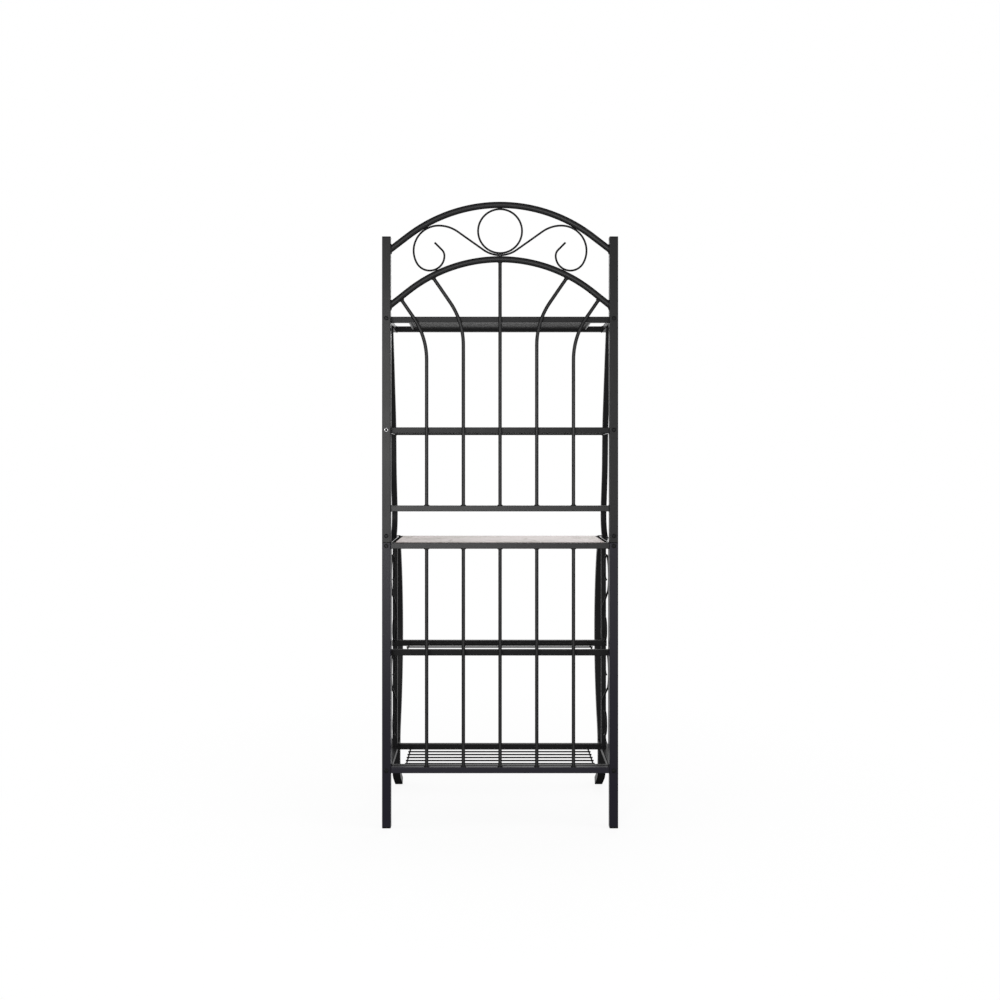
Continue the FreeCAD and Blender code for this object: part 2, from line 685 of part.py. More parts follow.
def make_side_frames():
    """Bows, legs, uprights, side rails and side scrolls of both sides."""
    pieces = []
    bow_room = slab("bow_room", "worktop_top", "top_shelf_height")
    leg_room = slab("leg_room", 0, "worktop_top")
    rise = "worktop_top - side_rail_height / 2 - leg_bulge_height"
    rail_lengths = (
        ("worktop", f"bulge_depth + sqrt(leg_bulge_radius ^ 2 - ({rise}) ^ 2) - post_side"),
        ("bottom_shelf", "ankle_depth - post_side"))
    for name, side in SIDES:
        tube = make_bow(f"bow_tube_{name}", side,
                        hollow_square("bar_side", "bar_corner", "bar_wall"))
        pieces.append(combine("Part::Common", f"side_bow_{name}", tube, bow_room))
        tube = make_leg(f"leg_tube_{name}", side,
                        hollow_square("leg_side", "post_corner", "post_wall"))
        pieces.append(combine("Part::Common", f"front_leg_{name}", tube, leg_room))
        outline = make_leg(f"leg_outline_{name}", side, solid_square("leg_side", "post_corner"))
        for level, length in rail_lengths:
            blank = straight_tube(
                f"{level}_rail_blank_{name}", "post_side", "side_rail_height", "bar_corner",
                "bar_wall", length, ALONG_Y, mirrored(side, "post_centre"),
                "post_side", f"{level}_height + side_rail_height / 2")
            pieces.append(combine("Part::Cut", f"{level}_side_rail_{name}", blank, outline))
        uprights = [make_upright(f"{level}_upright_{name}", side, depth, facing)
                    for level, depth, facing in (("rear", "post_side", "front"),
                                                 ("middle", "upright_depth", "rear"))]
        pieces.append(group(f"side_uprights_{name}", uprights))
        scrolls = [make_side_scroll(f"{level}_scroll_{name}", side, height)
                   for level, height in (("upper", "scroll_height"),
                                         ("lower", "scroll_height - scroll_pitch"))]
        pieces.append(group(f"side_scrolls_{name}", scrolls))
    return pieces


def make_upright(label, side, depth, facing):
    """An upright between two side rails, drilled where the middle shelf is screwed on."""
    upright = straight_tube(
        label, "upright_side", "upright_side", "bar_corner", "bar_wall",
        "worktop_height - bottom_shelf_height - side_rail_height", ALONG_Z,
        mirrored(side, "upright_x"), f"{depth} + upright_side / 2",
        "bottom_shelf_height + side_rail_height")
    drill(upright, label + "_screw",
          ["middle_shelf_height + bar_side / 2 - bottom_shelf_height - side_rail_height"],
          "screw_hole", facing)
    return upright


def make_side_scroll(label, side, height):
    """An S of wire that touches one upright with each of its loops."""
    slope = math.radians(number("scroll_slope"))
    loop, curl = number("scroll_loop_radius"), number("scroll_curl_radius")
    reach = number("(upright_depth - rear_upright_front - wire) / 2 - weld_gap")
    half_run = (reach - loop * (1 - math.sin(slope))) / math.cos(slope)
    middle = Vector(number("(upright_depth + rear_upright_front) / 2"), number(height), 0)
    toward = Vector(math.cos(slope), -math.sin(slope), 0)
    inward = Vector(math.sin(slope), math.cos(slope), 0)
    loop_centre = middle - toward * half_run + inward * loop
    loop_end = math.atan2(-inward.y, -inward.x) - math.radians(number("scroll_loop_turn"))
    out = Vector(math.cos(loop_end), math.sin(loop_end), 0)
    curl_centre = loop_centre + out * (loop - curl)
    curl_end = loop_end - math.radians(number("scroll_curl_turn"))
    start = curl_centre + Vector(math.cos(curl_end), math.sin(curl_end), 0) * curl
    steps = [("bend", "scroll_curl_radius", "scroll_curl_turn", 1),
             ("bend", "scroll_loop_radius", "scroll_loop_turn", 1),
             ("run", 2 * half_run),
             ("bend", "scroll_loop_radius", "scroll_loop_turn", -1),
             ("bend", "scroll_curl_radius", "scroll_curl_turn", -1)]
    return bent_tube(label, "YZ_Plane", (start.x, start.y),
                     math.degrees(curl_end) + RIGHT_ANGLE, steps, solid_round("wire"),
                     mirrored(side, "scroll_x"))


# ---------------------------------------------------------------- shelves

def make_grid(label, rear, front, height, half, pitch="wire_pitch", count=None):
    """Long wires welded on two cross wires that run from the rear to the front bar."""
    low = f"{height} + bar_side / 2 - wire_drop"
    wires = []
    for name, side in SIDES:
        cross = doc.addObject("Part::Cylinder", f"{label}_cross_{name}")
        bind(cross, "Radius", "shelf_wire / 2")
        bind(cross, "Height", f"{front} - ({rear})")
        wires.append(place(cross, ALONG_Y, mirrored(side, half), rear, low))
    if count is None:
        count = int((number(front) - number(rear)) / number(pitch))
    for index in range(count):
        wire = doc.addObject("Part::Cylinder", f"{label}_wire_{index}")
        bind(wire, "Radius", "shelf_wire / 2")
        bind(wire, "Height", f"2 * ({half} + wire_overhang)")
        depth = f"({front} + ({rear})) / 2 + {index - (count - 1) / 2} * {pitch}"
        wires.append(place(wire, ALONG_X, f"-{half} - wire_overhang", depth,
                           f"{low} + shelf_wire - wire_bite"))
    fused = doc.addObject("Part::MultiFuse", label)
    fused.Shapes = wires
    return fused


def make_upper_shelf(name):
    """A shelf of the upper frame: two side rails, two bars and a grid of wires."""
    height, depth = f"{name}_shelf_height", f"{name}_shelf_depth"
    rails = []
    for side_name, side in SIDES:
        length = f"{depth} - post_side" + (" - bar_side / 2" if name == "second" else "")
        rail = bar(f"{name}_shelf_tube_{side_name}", length, ALONG_Y,
                   mirrored(side, "post_centre"), "post_side", f"{height} + bar_side / 2")
        if name == "second":
            outline = make_bow(f"bow_outline_{side_name}", side,
                               solid_square("bar_side", "bar_corner"))
            rail = combine("Part::Cut", f"second_shelf_rail_{side_name}", rail, outline)
        rails.append(rail)
    rear, front = "post_side", f"{depth} - bar_side"
    pieces = [group(f"{name}_shelf_side_rails", rails),
              cross_bar(f"{name}_shelf_rear_bar", "bar_inner_half",
                        "post_side + bar_side / 2", height),
              cross_bar(f"{name}_shelf_front_bar", "bar_inner_half",
                        f"{depth} - bar_side / 2", height),
              make_grid(f"{name}_shelf_grid", f"{rear} + bar_side", front, height,
                        "upper_grid_half")]
    return pieces


def make_middle_shelf():
    """The small shelf that is screwed to the side uprights."""
    height, half = "middle_shelf_height", "middle_shelf_half"
    pieces = []
    for name, y in (("rear", "rear_upright_front + bar_side / 2"),
                    ("front", "middle_shelf_depth - bar_side / 2")):
        piece = cross_bar(f"middle_shelf_{name}_bar", half, y, height)
        drill(piece, f"middle_shelf_{name}_screws",
              [f"{half} + upright_x", f"{half} - upright_x"], "screw_hole")
        pieces.append(piece)
    pieces.append(make_grid("middle_shelf_grid", "rear_upright_front + bar_side",
                            "middle_shelf_depth - bar_side", height, "lower_grid_half",
                            "middle_wire_pitch", int(number("middle_wires"))))
    return pieces


def make_bottom_shelf():
    """The shelf between the bottom side rails."""
    height = "bottom_shelf_height"
    return [cross_bar("bottom_shelf_rear_bar", "inner_half", "post_side + bar_side / 2",
                      height),
            cross_bar("bottom_shelf_front_bar", "inner_half",
                      "bottom_shelf_depth - bar_side / 2", height),
            make_grid("bottom_shelf_grid", "post_side + bar_side",
                      "bottom_shelf_depth - bar_side", height, "lower_grid_half")]


def make_worktop():
    """The worktop: a front rail, two ledges, three strips and the board on them."""
    rear = "frame_depth + bar_side / 2"
    span = f"worktop_depth - bar_side - ({rear})"
    front_rail = cross_bar("worktop_front_rail", "inner_half",
                           "worktop_depth - bar_side / 2", "worktop_height")
    ledges = [straight_tube(f"ledge_{name}", "ledge_width", "side_rail_height",
                            "bar_corner", "bar_wall", span, ALONG_Y,
                            mirrored(side, "inner_half - ledge_width / 2"), rear,
                            "worktop_height + side_rail_height / 2")
              for name, side in SIDES]
    strips = [box(f"strip_{index}", "strip_width", span, "strip_thickness",
                  f"{index} * strip_spacing - strip_width / 2", rear, "worktop_height")
              for index in (-1, 0, 1)]
    half = "inner_half - ledge_width - board_gap"
    slab_body = doc.addObject("PartDesign::Body", "worktop_board")
    outline = new_sketch(slab_body, "board_outline", "XY_Plane")
    draw_rectangle(outline, "board", f"2 * ({half})", f"{span} - 2 * board_gap")
    pad = slab_body.newObject("PartDesign::Pad", "board_pad")
    pad.Profile = outline
    bind(pad, "Length", "board_thickness")
    doc.recompute()
    top = [f"Edge{index + 1}" for index, edge in enumerate(pad.Shape.Edges)
           if min(vertex.Z for vertex in edge.Vertexes) > number("board_thickness") / 2]
    rounding = slab_body.newObject("PartDesign::Fillet", "board_rounding")
    rounding.Base = (pad, top)
    bind(rounding, "Radius", "board_round")
    place(slab_body, ALONG_Z, 0, f"({rear} + worktop_depth - bar_side) / 2",
          "worktop_height + strip_thickness")
    return [front_rail, group("worktop_ledges", ledges), group("worktop_strips", strips),
            slab_body]


# ---------------------------------------------------------------- fasteners and caps

def make_screw(label, shank, reach, head, head_height):
    """A button-headed bolt along Y: its half section turned about its own axis."""
    body = doc.addObject("PartDesign::Body", label)
    sketch = new_sketch(body, label + "_section", "XY_Plane")
    tip, crown = number(reach), -number(head_height)
    thread, rim = number(shank) / 2, number(head) / 2
    flat, socket = HEAD_FLAT * rim, number("bolt_socket") / 2
    seat = crown + number("bolt_socket_depth")
    corners = ((0, tip), (0, seat), (socket, seat), (socket, crown), (flat, crown),
               (rim, crown / 3), (rim, 0), (thread, 0), (thread, tip))
    points = [Vector(x, y, 0) for x, y in corners]
    count = len(points)
    for index in range(count):
        line = Part.LineSegment(points[index], points[(index + 1) % count])
        sketch.addGeometry(line, False)
    for index in range(count):
        sketch.addConstraint(Constraint("Coincident", index, 2, (index + 1) % count, 1))
    for index in (0, 2, 5, 7):
        sketch.addConstraint(Constraint("Vertical", index))
    for index in (1, 3, 6, 8):
        sketch.addConstraint(Constraint("Horizontal", index))
    sketch.addConstraint(Constraint("PointOnObject", 0, 1, -2))
    sketch.addConstraint(Constraint("PointOnObject", 6, 1, -1))
    dimension(sketch, "DistanceY", (-1, 1, 0, 1), reach, "reach")
    dimension(sketch, "DistanceX", (-1, 1, 6, 2), f"{shank} / 2", "thread")
    dimension(sketch, "DistanceX", (-1, 1, 5, 2), f"{head} / 2", "rim")
    dimension(sketch, "DistanceX", (-1, 1, 2, 2), "bolt_socket / 2", "socket")
    dimension(sketch, "DistanceY", (2, 2, -1, 1), head_height, "crown")
    dimension(sketch, "DistanceY", (2, 2, 2, 1), "bolt_socket_depth", "socket_depth")
    dimension(sketch, "DistanceX", (-1, 1, 4, 1), f"{HEAD_FLAT} * {head} / 2", "flat")
    dimension(sketch, "DistanceY", (4, 2, -1, 1), f"{head_height} / 3", "edge")
    turned = body.newObject("PartDesign::Revolution", label + "_turned")
    turned.Profile = sketch
    turned.ReferenceAxis = (sketch, ["V_Axis"])
    turned.Angle = 360
    return body


def make_insert(label, width, x, z):
    """A block with a threaded hole, pressed into the rear end of a rail."""
    body = doc.addObject("PartDesign::Body", label)
    section = new_sketch(body, label + "_section", "XY_Plane")
    smaller = "- 2 * (bar_wall + insert_play)"
    draw_rectangle(section, "outer", f"{width} {smaller}", f"side_rail_height {smaller}")
    draw_circle(section, "thread", "bolt + 2 * insert_play")
    pad = body.newObject("PartDesign::Pad", label + "_pad")
    pad.Profile = section
    bind(pad, "Length", "insert_length")
    return place(body, ALONG_Y, x, "post_side", z)


def make_fasteners():
    """Frame bolts, shelf screws, threaded inserts and the sleeves in the post joints."""
    long_bolt = make_screw("long_bolt", "bolt", "post_side + bolt_grip", "bolt_head",
                           "bolt_head_height")
    short_bolt = make_screw("short_bolt", "bolt", "post_wall + joint_bolt_grip",
                            "bolt_head", "bolt_head_height")
    screw = make_screw("shelf_screw", "screw", "bar_side + screw_tip", "screw_head",
                       "screw_head_height")
    rails = (("top", "top_shelf_height + bar_side / 2", "bar_side"),
             ("second", "second_shelf_height + bar_side / 2", "bar_side"),
             ("worktop", "worktop_height + side_rail_height / 2", "post_side"),
             ("bottom", "bottom_shelf_height + side_rail_height / 2", "post_side"))
    half_turn = Rotation(Vector(0, 0, 1), 180)
    bolts, inserts, sleeves, screws = [], [], [], []
    for name, side in SIDES:
        x = mirrored(side, "post_centre")
        for level, z, width in rails:
            bolts.append(copy_of(long_bolt, f"{level}_bolt_{name}", ALONG_Z, x, 0, z))
            inserts.append(make_insert(f"{level}_insert_{name}", width, x, z))
        bolts.append(copy_of(short_bolt, f"joint_bolt_{name}", ALONG_Z, x, 0,
                             "frame_split + joint_bolt_rise"))
        sleeves.append(make_sleeve(f"joint_sleeve_{name}", x))
        x, z = mirrored(side, "upright_x"), "middle_shelf_height + bar_side / 2"
        screws.append(copy_of(screw, f"front_screw_{name}", ALONG_Z, x,
                              "middle_shelf_depth - bar_side", z))
        screws.append(copy_of(screw, f"rear_screw_{name}", half_turn, x,
                              "rear_upright_front + bar_side", z))
    return [group("frame_bolts", bolts), group("rail_inserts", inserts),
            group("joint_sleeves", sleeves), group("shelf_screws", screws)]


def make_sleeve(label, x):
    """The square sleeve that joins an upper post to its lower one."""
    side = "(post_bore - 2 * sleeve_play)"
    sleeve = straight_tube(label, side, side, "sleeve_wall", "sleeve_wall",
                           "sleeve_length", ALONG_Z, x, "post_side / 2",
                           "frame_split - sleeve_length / 2")
    drill(sleeve, label + "_joint", ["sleeve_length / 2 + joint_bolt_rise"], "hole", "rear")
    drill(sleeve, label + "_rail",
          ["sleeve_length / 2 - frame_split + worktop_height + side_rail_height / 2"],
          "hole")
    return sleeve


def make_cap(label, side, corner, height, plug, bore, rotation, x, y, z):
    """A plastic cap: a rounded head on a square plug that fills the end of a tube."""
    body = doc.addObject("PartDesign::Body", label)
    head = new_sketch(body, label + "_head", "XY_Plane")
    draw_rectangle(head, "outer", side, side, corner)
    pad = body.newObject("PartDesign::Pad", label + "_pad")
    pad.Profile = head
    bind(pad, "Length", height)
    section = new_sketch(body, label + "_plug", "XY_Plane")
    draw_rectangle(section, "plug", f"{bore} - 2 * cap_play", f"{bore} - 2 * cap_play")
    stem = body.newObject("PartDesign::Pad", label + "_stem")
    stem.Profile = section
    stem.Reversed = True
    bind(stem, "Length", plug)
    doc.recompute()
    rim = number(height) - 0.01
    edges = [f"Edge{index + 1}" for index, edge in enumerate(stem.Shape.Edges)
             if min(vertex.Z for vertex in edge.Vertexes) > rim]
    rounding = body.newObject("PartDesign::Fillet", label + "_rounding")
    rounding.Base = (stem, edges)
    bind(rounding, "Radius", "cap_round")
    return place(body, rotation, x, y, z)


def make_leg_plugs(name, side, boot_rotation):
    """The plug in a leg's sloping top end, flush with it, and the boot on its foot."""
    core = make_leg(f"leg_core_{name}", side,
                    solid_square("post_bore - 2 * cap_play", "bar_wall"))
    plug_room = slab(f"leg_plug_room_{name}", "worktop_top - leg_plug", "worktop_top")
    plug = combine("Part::Common", f"leg_plug_{name}", core, plug_room)
    below = number("foot_turn")
    turn = math.radians(below)
    depth = number("ankle_depth + foot_radius") - number("foot_radius") * math.cos(turn)
    height = number("foot_bend_height") - number("foot_radius") * math.sin(turn)
    depth += number("foot_run") * math.sin(turn)
    height -= number("foot_run") * math.cos(turn)
    boot = make_cap(f"boot_{name}", "leg_side", "post_corner", "boot_length", "cap_plug",
                    "post_bore", boot_rotation, mirrored(side, "leg_x"), depth, height)
    floor = slab(f"boot_room_{name}", 0, "worktop_height")
    return plug, combine("Part::Common", f"leg_boot_{name}", boot, floor)


def make_caps():
    """Plastic caps on the posts, the feet, the legs and the top shelf's side rails."""
    upside_down = Rotation(Vector(1, 0, 0), 180)
    boot_rotation = Rotation(Vector(1, 0, 0), -180 + number("foot_turn"))
    tops, feet, boots, ends = [], [], [], []
    for name, side in SIDES:
        x, y = mirrored(side, "post_centre"), "post_side / 2"
        tops.append(make_cap(f"post_cap_{name}", "post_side", "post_corner", "cap_height",
                             "cap_plug", "post_bore", ALONG_Z, x, y,
                             "post_top - cap_height"))
        feet.append(make_cap(f"foot_cap_{name}", "post_side", "post_corner",
                             "foot_cap_height", "cap_plug", "post_bore", upside_down,
                             x, y, "foot_cap_height"))
        ends.append(make_cap(f"rail_cap_{name}", "bar_side", "bar_corner", "cap_height",
                             "cap_plug", "bar_bore", ALONG_Y, x, "top_shelf_depth",
                             "top_shelf_height + bar_side / 2"))
        plug, boot = make_leg_plugs(name, side, boot_rotation)
        ends.append(plug)
        boots.append(boot)
    return [group("post_caps", tops), group("rear_foot_caps", feet),
            group("front_foot_boots", boots), group("rail_and_leg_caps", ends)]


def doc_objects(pieces):
    """The pieces that are written, each checked for a valid shape."""
    doc.recompute()
    failed = [item.Label for item in doc.Objects
              if {"Invalid", "Error"} & set(item.State)]
    if failed:
        raise RuntimeError("failed: " + ", ".join(failed))
    for piece in pieces:
        if piece.Shape.isNull() or not piece.Shape.isValid() or not piece.Shape.Solids:
            raise RuntimeError("no valid shape: " + piece.Label)
    return pieces


pieces = make_posts() + [make_arch("outer"), make_arch("inner"), make_crest_ring()]
pieces += [make_crest_scroll(name, side) for name, side in SIDES]
pieces += make_rear_rails() + make_upper_rods() + make_lower_rods()
pieces += make_side_frames()
pieces += make_upper_shelf("top") + make_upper_shelf("second")
pieces += make_middle_shelf() + make_bottom_shelf() + make_worktop()
pieces += make_fasteners() + make_caps()

for piece in doc_objects(pieces):
    piece.Shape.exportStep(f"parts/{piece.Label}.step")
    print(piece.Label, len(piece.Shape.Solids), round(piece.Shape.Volume / 1000, 2))
print(len(pieces), "nodes")
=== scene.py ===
"""Dresses the bakers rack: powder coat, marble-look board, weld beads and stage.

The steel, the board, the caps and the bolts are the frame's own nodes and get their
finishes here.  The weld beads that join them are modelled.  Metres, in the frame's own
axes: the grille of the rack faces -Y and its front legs face +Y.
"""

import json
import math

import bpy
from bpy.props import FloatProperty, FloatVectorProperty, PointerProperty
from mathutils import Matrix, Vector
from mathutils.bvhtree import BVHTree


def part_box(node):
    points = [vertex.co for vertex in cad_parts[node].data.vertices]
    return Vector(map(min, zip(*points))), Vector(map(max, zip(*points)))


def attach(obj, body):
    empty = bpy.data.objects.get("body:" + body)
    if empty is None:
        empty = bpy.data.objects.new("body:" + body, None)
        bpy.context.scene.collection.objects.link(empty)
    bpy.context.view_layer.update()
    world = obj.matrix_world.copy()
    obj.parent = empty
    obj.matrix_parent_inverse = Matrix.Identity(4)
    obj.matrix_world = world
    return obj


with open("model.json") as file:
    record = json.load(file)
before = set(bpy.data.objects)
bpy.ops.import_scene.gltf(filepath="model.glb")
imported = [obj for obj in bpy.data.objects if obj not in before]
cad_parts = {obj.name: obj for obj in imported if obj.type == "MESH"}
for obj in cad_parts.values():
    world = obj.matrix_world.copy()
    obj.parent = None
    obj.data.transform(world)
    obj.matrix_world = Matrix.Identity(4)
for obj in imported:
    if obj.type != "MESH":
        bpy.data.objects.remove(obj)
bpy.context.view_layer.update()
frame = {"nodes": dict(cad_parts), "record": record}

bl_info = {
    "name": "Bakers rack finishes",
    "version": (1, 0, 0),
    "blender": (4, 5, 0),
    "location": "View3D > Sidebar > Rack",
    "description": "Finishes, weld beads and a stage for a steel bakers rack",
    "category": "Object",
}

SIDES = (("left", -1), ("right", 1))
X_AXIS = Vector((1, 0, 0))
Y_AXIS = Vector((0, 1, 0))
Z_AXIS = Vector((0, 0, 1))
MM = 0.001

# marks in the coat
SEAM_EDGE, SEAM_CORE = 1.1 * MM, 0.5 * MM   # half heights of the dark line at a joint
RING_EDGE, RING_CORE = 5.0 * MM, 4.7 * MM   # radii where one bolt's bare zinc ends
HOLE_EDGE, HOLE_CORE = 3.3 * MM, 3.0 * MM   # radii where its socket ends, painted black as shade
REAR_REACH = 30 * MM                        # steel farther forward of the posts is inner: its weaker reflections are painted shade
BLACK = (0, 0, 0)

# how the weld beads find their places
SKIN = 0.1 * MM                             # vertices this near an end are part of it
COPE = 2 * MM                               # the same, where an end is coped
MITRE = 9 * MM                              # the same, where a rod leans into the arch
STRAIGHT_END = 60 * MM, 400 * MM            # part of a rod under its top that gives its way
SHELF_WIRE_RADIUS = 2 * MM
WIRE_GAP = 6 * MM                           # wires farther apart are separate wires
CREST_HALF = 100 * MM                       # the scrolls' outer welds lie beyond this

# the stage
FLOOR_SIZE, FLOOR_CENTRE = 60, (0, 20, 0)
FLOOR_COLOUR = (0.92, 0.92, 0.92, 1)
SHADOW_NEAR, SHADOW_FAR = 0.45, 1.4         # the floor's shadow fades between them
SHADOW_GLOW = 0.88                          # how white the floor is kept near the rack
LAMPS = (                                   # name, share of the power, size and place
    ("main_lamp", 1.0, 1.3, (-0.45, -3.0, 1.05)),
    ("right_lamp", 0.3, 1.2, (2.6, -0.9, 1.5)),
    ("left_lamp", 0.3, 1.2, (-2.8, -0.3, 1.3)),
    ("front_lamp", 0.4, 1.8, (0.6, 2.6, 2.4)),
)
LAMP_TARGET = (0, 0, 0.9)
SENSOR_WIDTH = 36


# ------------------------------------------------------------------ settings

def millimetres(name, value, text):
    """A length that shows in the panel; value is in millimetres."""
    return FloatProperty(name=name, description=text, default=value * MM, min=0,
                         unit="LENGTH", precision=5)


def metres(name, value, text):
    """A length that shows in the panel, and may be negative."""
    return FloatProperty(name=name, description=text, default=value, unit="LENGTH")


def colour(name, value, text):
    """A colour that shows in the panel."""
    return FloatVectorProperty(name=name, description=text, default=value, size=3,
                               min=0, max=1, subtype="COLOR")


def share(name, value, text):
    """A plain factor that shows in the panel."""
    return FloatProperty(name=name, description=text, default=value, min=0)


class RACK_PG_coat(bpy.types.PropertyGroup):
    """The powder coat on the steel and the finish of the plastic caps."""
    steel: colour("Steel", (0.0073, 0.0072, 0.0076), "Colour of the powder coat")
    lower_steel: colour("Lower steel", (0.0074, 0.0067, 0.0112),
                        "Colour of the coat on the lower frame, a little bluer")
    dust: colour("Dust", (0.055, 0.053, 0.051), "Colour of the dust on upward faces")
    caps: colour("Caps", (0.006, 0.006, 0.0065), "Colour of the moulded caps")
    zinc: colour("Zinc", (0.62, 0.62, 0.63), "Colour of the dull zinc under the coat")
    roughness: share("Roughness", 0.38, "Roughness of the powder coat")
    # the gloss strengths differ from part to part to paint light and shade: lit and shaded
    # copies of the one powder coat
    gloss: share("Gloss", 0.15, "Strength of the reflections on the posts and arches")
    rail_gloss: share("Rail gloss", 0.20, "Strength of those on the rods and their rails")
    bar_gloss: share("Bar gloss", 0.11, "Strength of those on the shelves' rear bars")
    inner_gloss: share("Inner gloss", 0.05, "Strength of the reflections further in")
    bolt_gloss: share("Bolt gloss", 0.10, "Strength of the reflections on the bolt heads")
    # this gloss paints highlights: on the side rails seen edge-on and on the rear of the top
    # shelf's wires
    highlight_gloss: share("Full gloss", 0.90, "Strength of them where the coat is glossy")
    grain: millimetres("Grain", 1.1, "Size of the orange peel in the powder coat")


class RACK_PG_board(bpy.types.PropertyGroup):
    """The marble-look laminate of the worktop."""
    ground: colour("Ground", (0.60, 0.53, 0.515), "Pale ground of the marble")
    cloud: colour("Cloud", (0.48, 0.45, 0.41), "Soft clouds in the marble")
    vein: colour("Vein", (0.27, 0.23, 0.20), "Thin veins in the marble")
    edging: colour("Edging", (0.14, 0.10, 0.09), "Wrapped edge of the board")
    vein_spacing: millimetres("Vein spacing", 70, "Distance between the veins")
    roughness: share("Roughness", 0.42, "Roughness of the laminate")
    gloss: share("Gloss", 0.12, "Strength of the laminate's reflections")


class RACK_PG_weld(bpy.types.PropertyGroup):
    """The sizes of the weld beads."""
    bead: millimetres("Bead", 2.6, "Width of a bead round a rail")
    collar: millimetres("Collar", 4.6, "Width of a bead round a rod on a rail")
    arch_collar: millimetres("Arch collar", 3.4, "Width of a bead round a rod on the arch")
    spot: millimetres("Spot", 2.6, "Width of a spot weld between wires")
    spot_length: millimetres("Spot length", 5, "Length of a spot weld between wires")
    crest_spot_length: millimetres("Crest spot length", 7, "Length of one in the crest")
    ripple: millimetres("Ripple", 0.25, "Unevenness of a bead")


class RACK_PG_stage(bpy.types.PropertyGroup):
    """The camera, the lamps and the surroundings."""
    distance: metres("Distance", 2.6, "Camera to the rear posts")
    height: metres("Height", 0.9232, "Camera above the floor")
    offset: metres("Offset", -0.0282, "Camera to the right of the middle")
    lens: FloatProperty(name="Lens", description="Focal length in millimetres",
                        default=36.86)
    shift_x: FloatProperty(name="Shift across", description="Sideways shift of the lens",
                           default=0.011)
    shift_y: FloatProperty(name="Shift up", description="Upward shift of the lens",
                           default=-0.035)
    lamp: FloatProperty(name="Lamp", description="Power of the main lamp",
                        default=60.0, unit="POWER")
    ambient: share("Ambient", 0.60, "Light from the surroundings")


# ------------------------------------------------------------------ node helpers

def fill(tree, node, sources):
    """Link or set some inputs of a node: pairs of an input and its source or value."""
    for socket, source in sources:
        if isinstance(source, bpy.types.NodeSocket):
            tree.links.new(source, node.inputs[socket])
        else:
            node.inputs[socket].default_value = source


def add_node(tree, kind, sources=(), **values):
    """A node with some of its properties set and some of its inputs linked or set."""
    node = tree.nodes.new(kind)
    for name, value in values.items():
        setattr(node, name, value)
    fill(tree, node, sources)
    return node


def new_group(name, inputs, outputs):
    """An empty shader node group with its sockets and its two end nodes."""
    group = bpy.data.node_groups.new(name, "ShaderNodeTree")
    for direction, sockets in (("INPUT", inputs), ("OUTPUT", outputs)):
        for label, kind in sockets:
            group.interface.new_socket(name=label, in_out=direction, socket_type=kind)
    return group, group.nodes.new("NodeGroupInput"), group.nodes.new("NodeGroupOutput")


def new_material(name):
    """A material with a bare Principled shader."""
    material = bpy.data.materials.new(name)
    material.use_nodes = True
    return material, material.node_tree, material.node_tree.nodes["Principled BSDF"]


def object_place(tree):
    """Where on the rack a point lies."""
    return tree.nodes.new("ShaderNodeTexCoord").outputs["Object"]


def along(tree, axis):
    """How far along one of the rack's axes a point lies."""
    return add_node(tree, "ShaderNodeSeparateXYZ", ((0, object_place(tree)),)).outputs[axis]


def calculate(tree, operation, *values):
    """The result of a calculation with one or two values."""
    return add_node(tree, "ShaderNodeMath", enumerate(values),
                    operation=operation).outputs[0]


def product(tree, first, second):
    """Two values multiplied."""
    return calculate(tree, "MULTIPLY", first, second)


def inverse(tree, value):
    """1 less a value."""
    return calculate(tree, "SUBTRACT", 1.0, value)


def combine(tree, operation, *vectors):
    """The vector that a calculation with one or two vectors gives."""
    return add_node(tree, "ShaderNodeVectorMath", enumerate(vectors),
                    operation=operation).outputs["Vector"]


def vector_length(tree, vector):
    """How long a vector is."""
    return add_node(tree, "ShaderNodeVectorMath", ((0, vector),),
                    operation="LENGTH").outputs["Value"]


def spread(tree, value, first, last, low=0.0, high=1.0):
    """A value between low and high, spread evenly from first to last."""
    return add_node(tree, "ShaderNodeMapRange",
                    (("Value", value), ("From Min", low), ("From Max", high),
                     ("To Min", first), ("To Max", last))).outputs["Result"]


def mask_between(tree, value, low, high):
    """1 where a value lies past high, 0 where it lies before low, smooth between."""
    return add_node(tree, "ShaderNodeMapRange",
                    (("Value", value), ("From Min", low), ("From Max", high)),
                    interpolation_type="SMOOTHSTEP").outputs["Result"]


def noise(tree, place, scale, detail=2.0, roughness=0.5):
    """The outputs of a noise with about scale lumps to a metre."""
    return add_node(tree, "ShaderNodeTexNoise",
                    (("Vector", place), ("Scale", scale), ("Detail", detail),
                     ("Roughness", roughness))).outputs


def relief(tree, height, depth):
    """The normal of a skin with a faint relief of some depth."""
    return add_node(tree, "ShaderNodeBump",
                    (("Strength", 0.3), ("Distance", depth),
                     ("Height", height))).outputs["Normal"]


def mix_colour(tree, factor, first, second):
    """Two colours mixed by a factor."""
    factor_input, first_input, second_input, colour_output = 0, 6, 7, 2
    return add_node(tree, "ShaderNodeMix",
                    ((factor_input, factor), (first_input, first),
                     (second_input, second)),
                    data_type="RGBA").outputs[colour_output]


def opaque(rgb):
    """A colour with its alpha."""
    return (*rgb, 1.0)


# ------------------------------------------------------------------ masks

def skin_normal(tree):
    """The way the skin faces."""
    return tree.nodes.new("ShaderNodeNewGeometry").outputs["Normal"]


def upward(tree):
    """How far a face looks up: 1 on level tops, 0 on upright faces, -1 on undersides."""
    return add_node(tree, "ShaderNodeSeparateXYZ", ((0, skin_normal(tree)),)).outputs["Z"]


def flatness(tree):
    """1 on faces square to the axes, 0 where a skin is rounded or leans."""
    ways = combine(tree, "ABSOLUTE", skin_normal(tree))
    parts = add_node(tree, "ShaderNodeSeparateXYZ", ((0, ways),)).outputs
    most = calculate(tree, "MAXIMUM", parts["X"], parts["Y"])
    most = calculate(tree, "MAXIMUM", most, parts["Z"])
    return mask_between(tree, most, 0.97, 0.998)


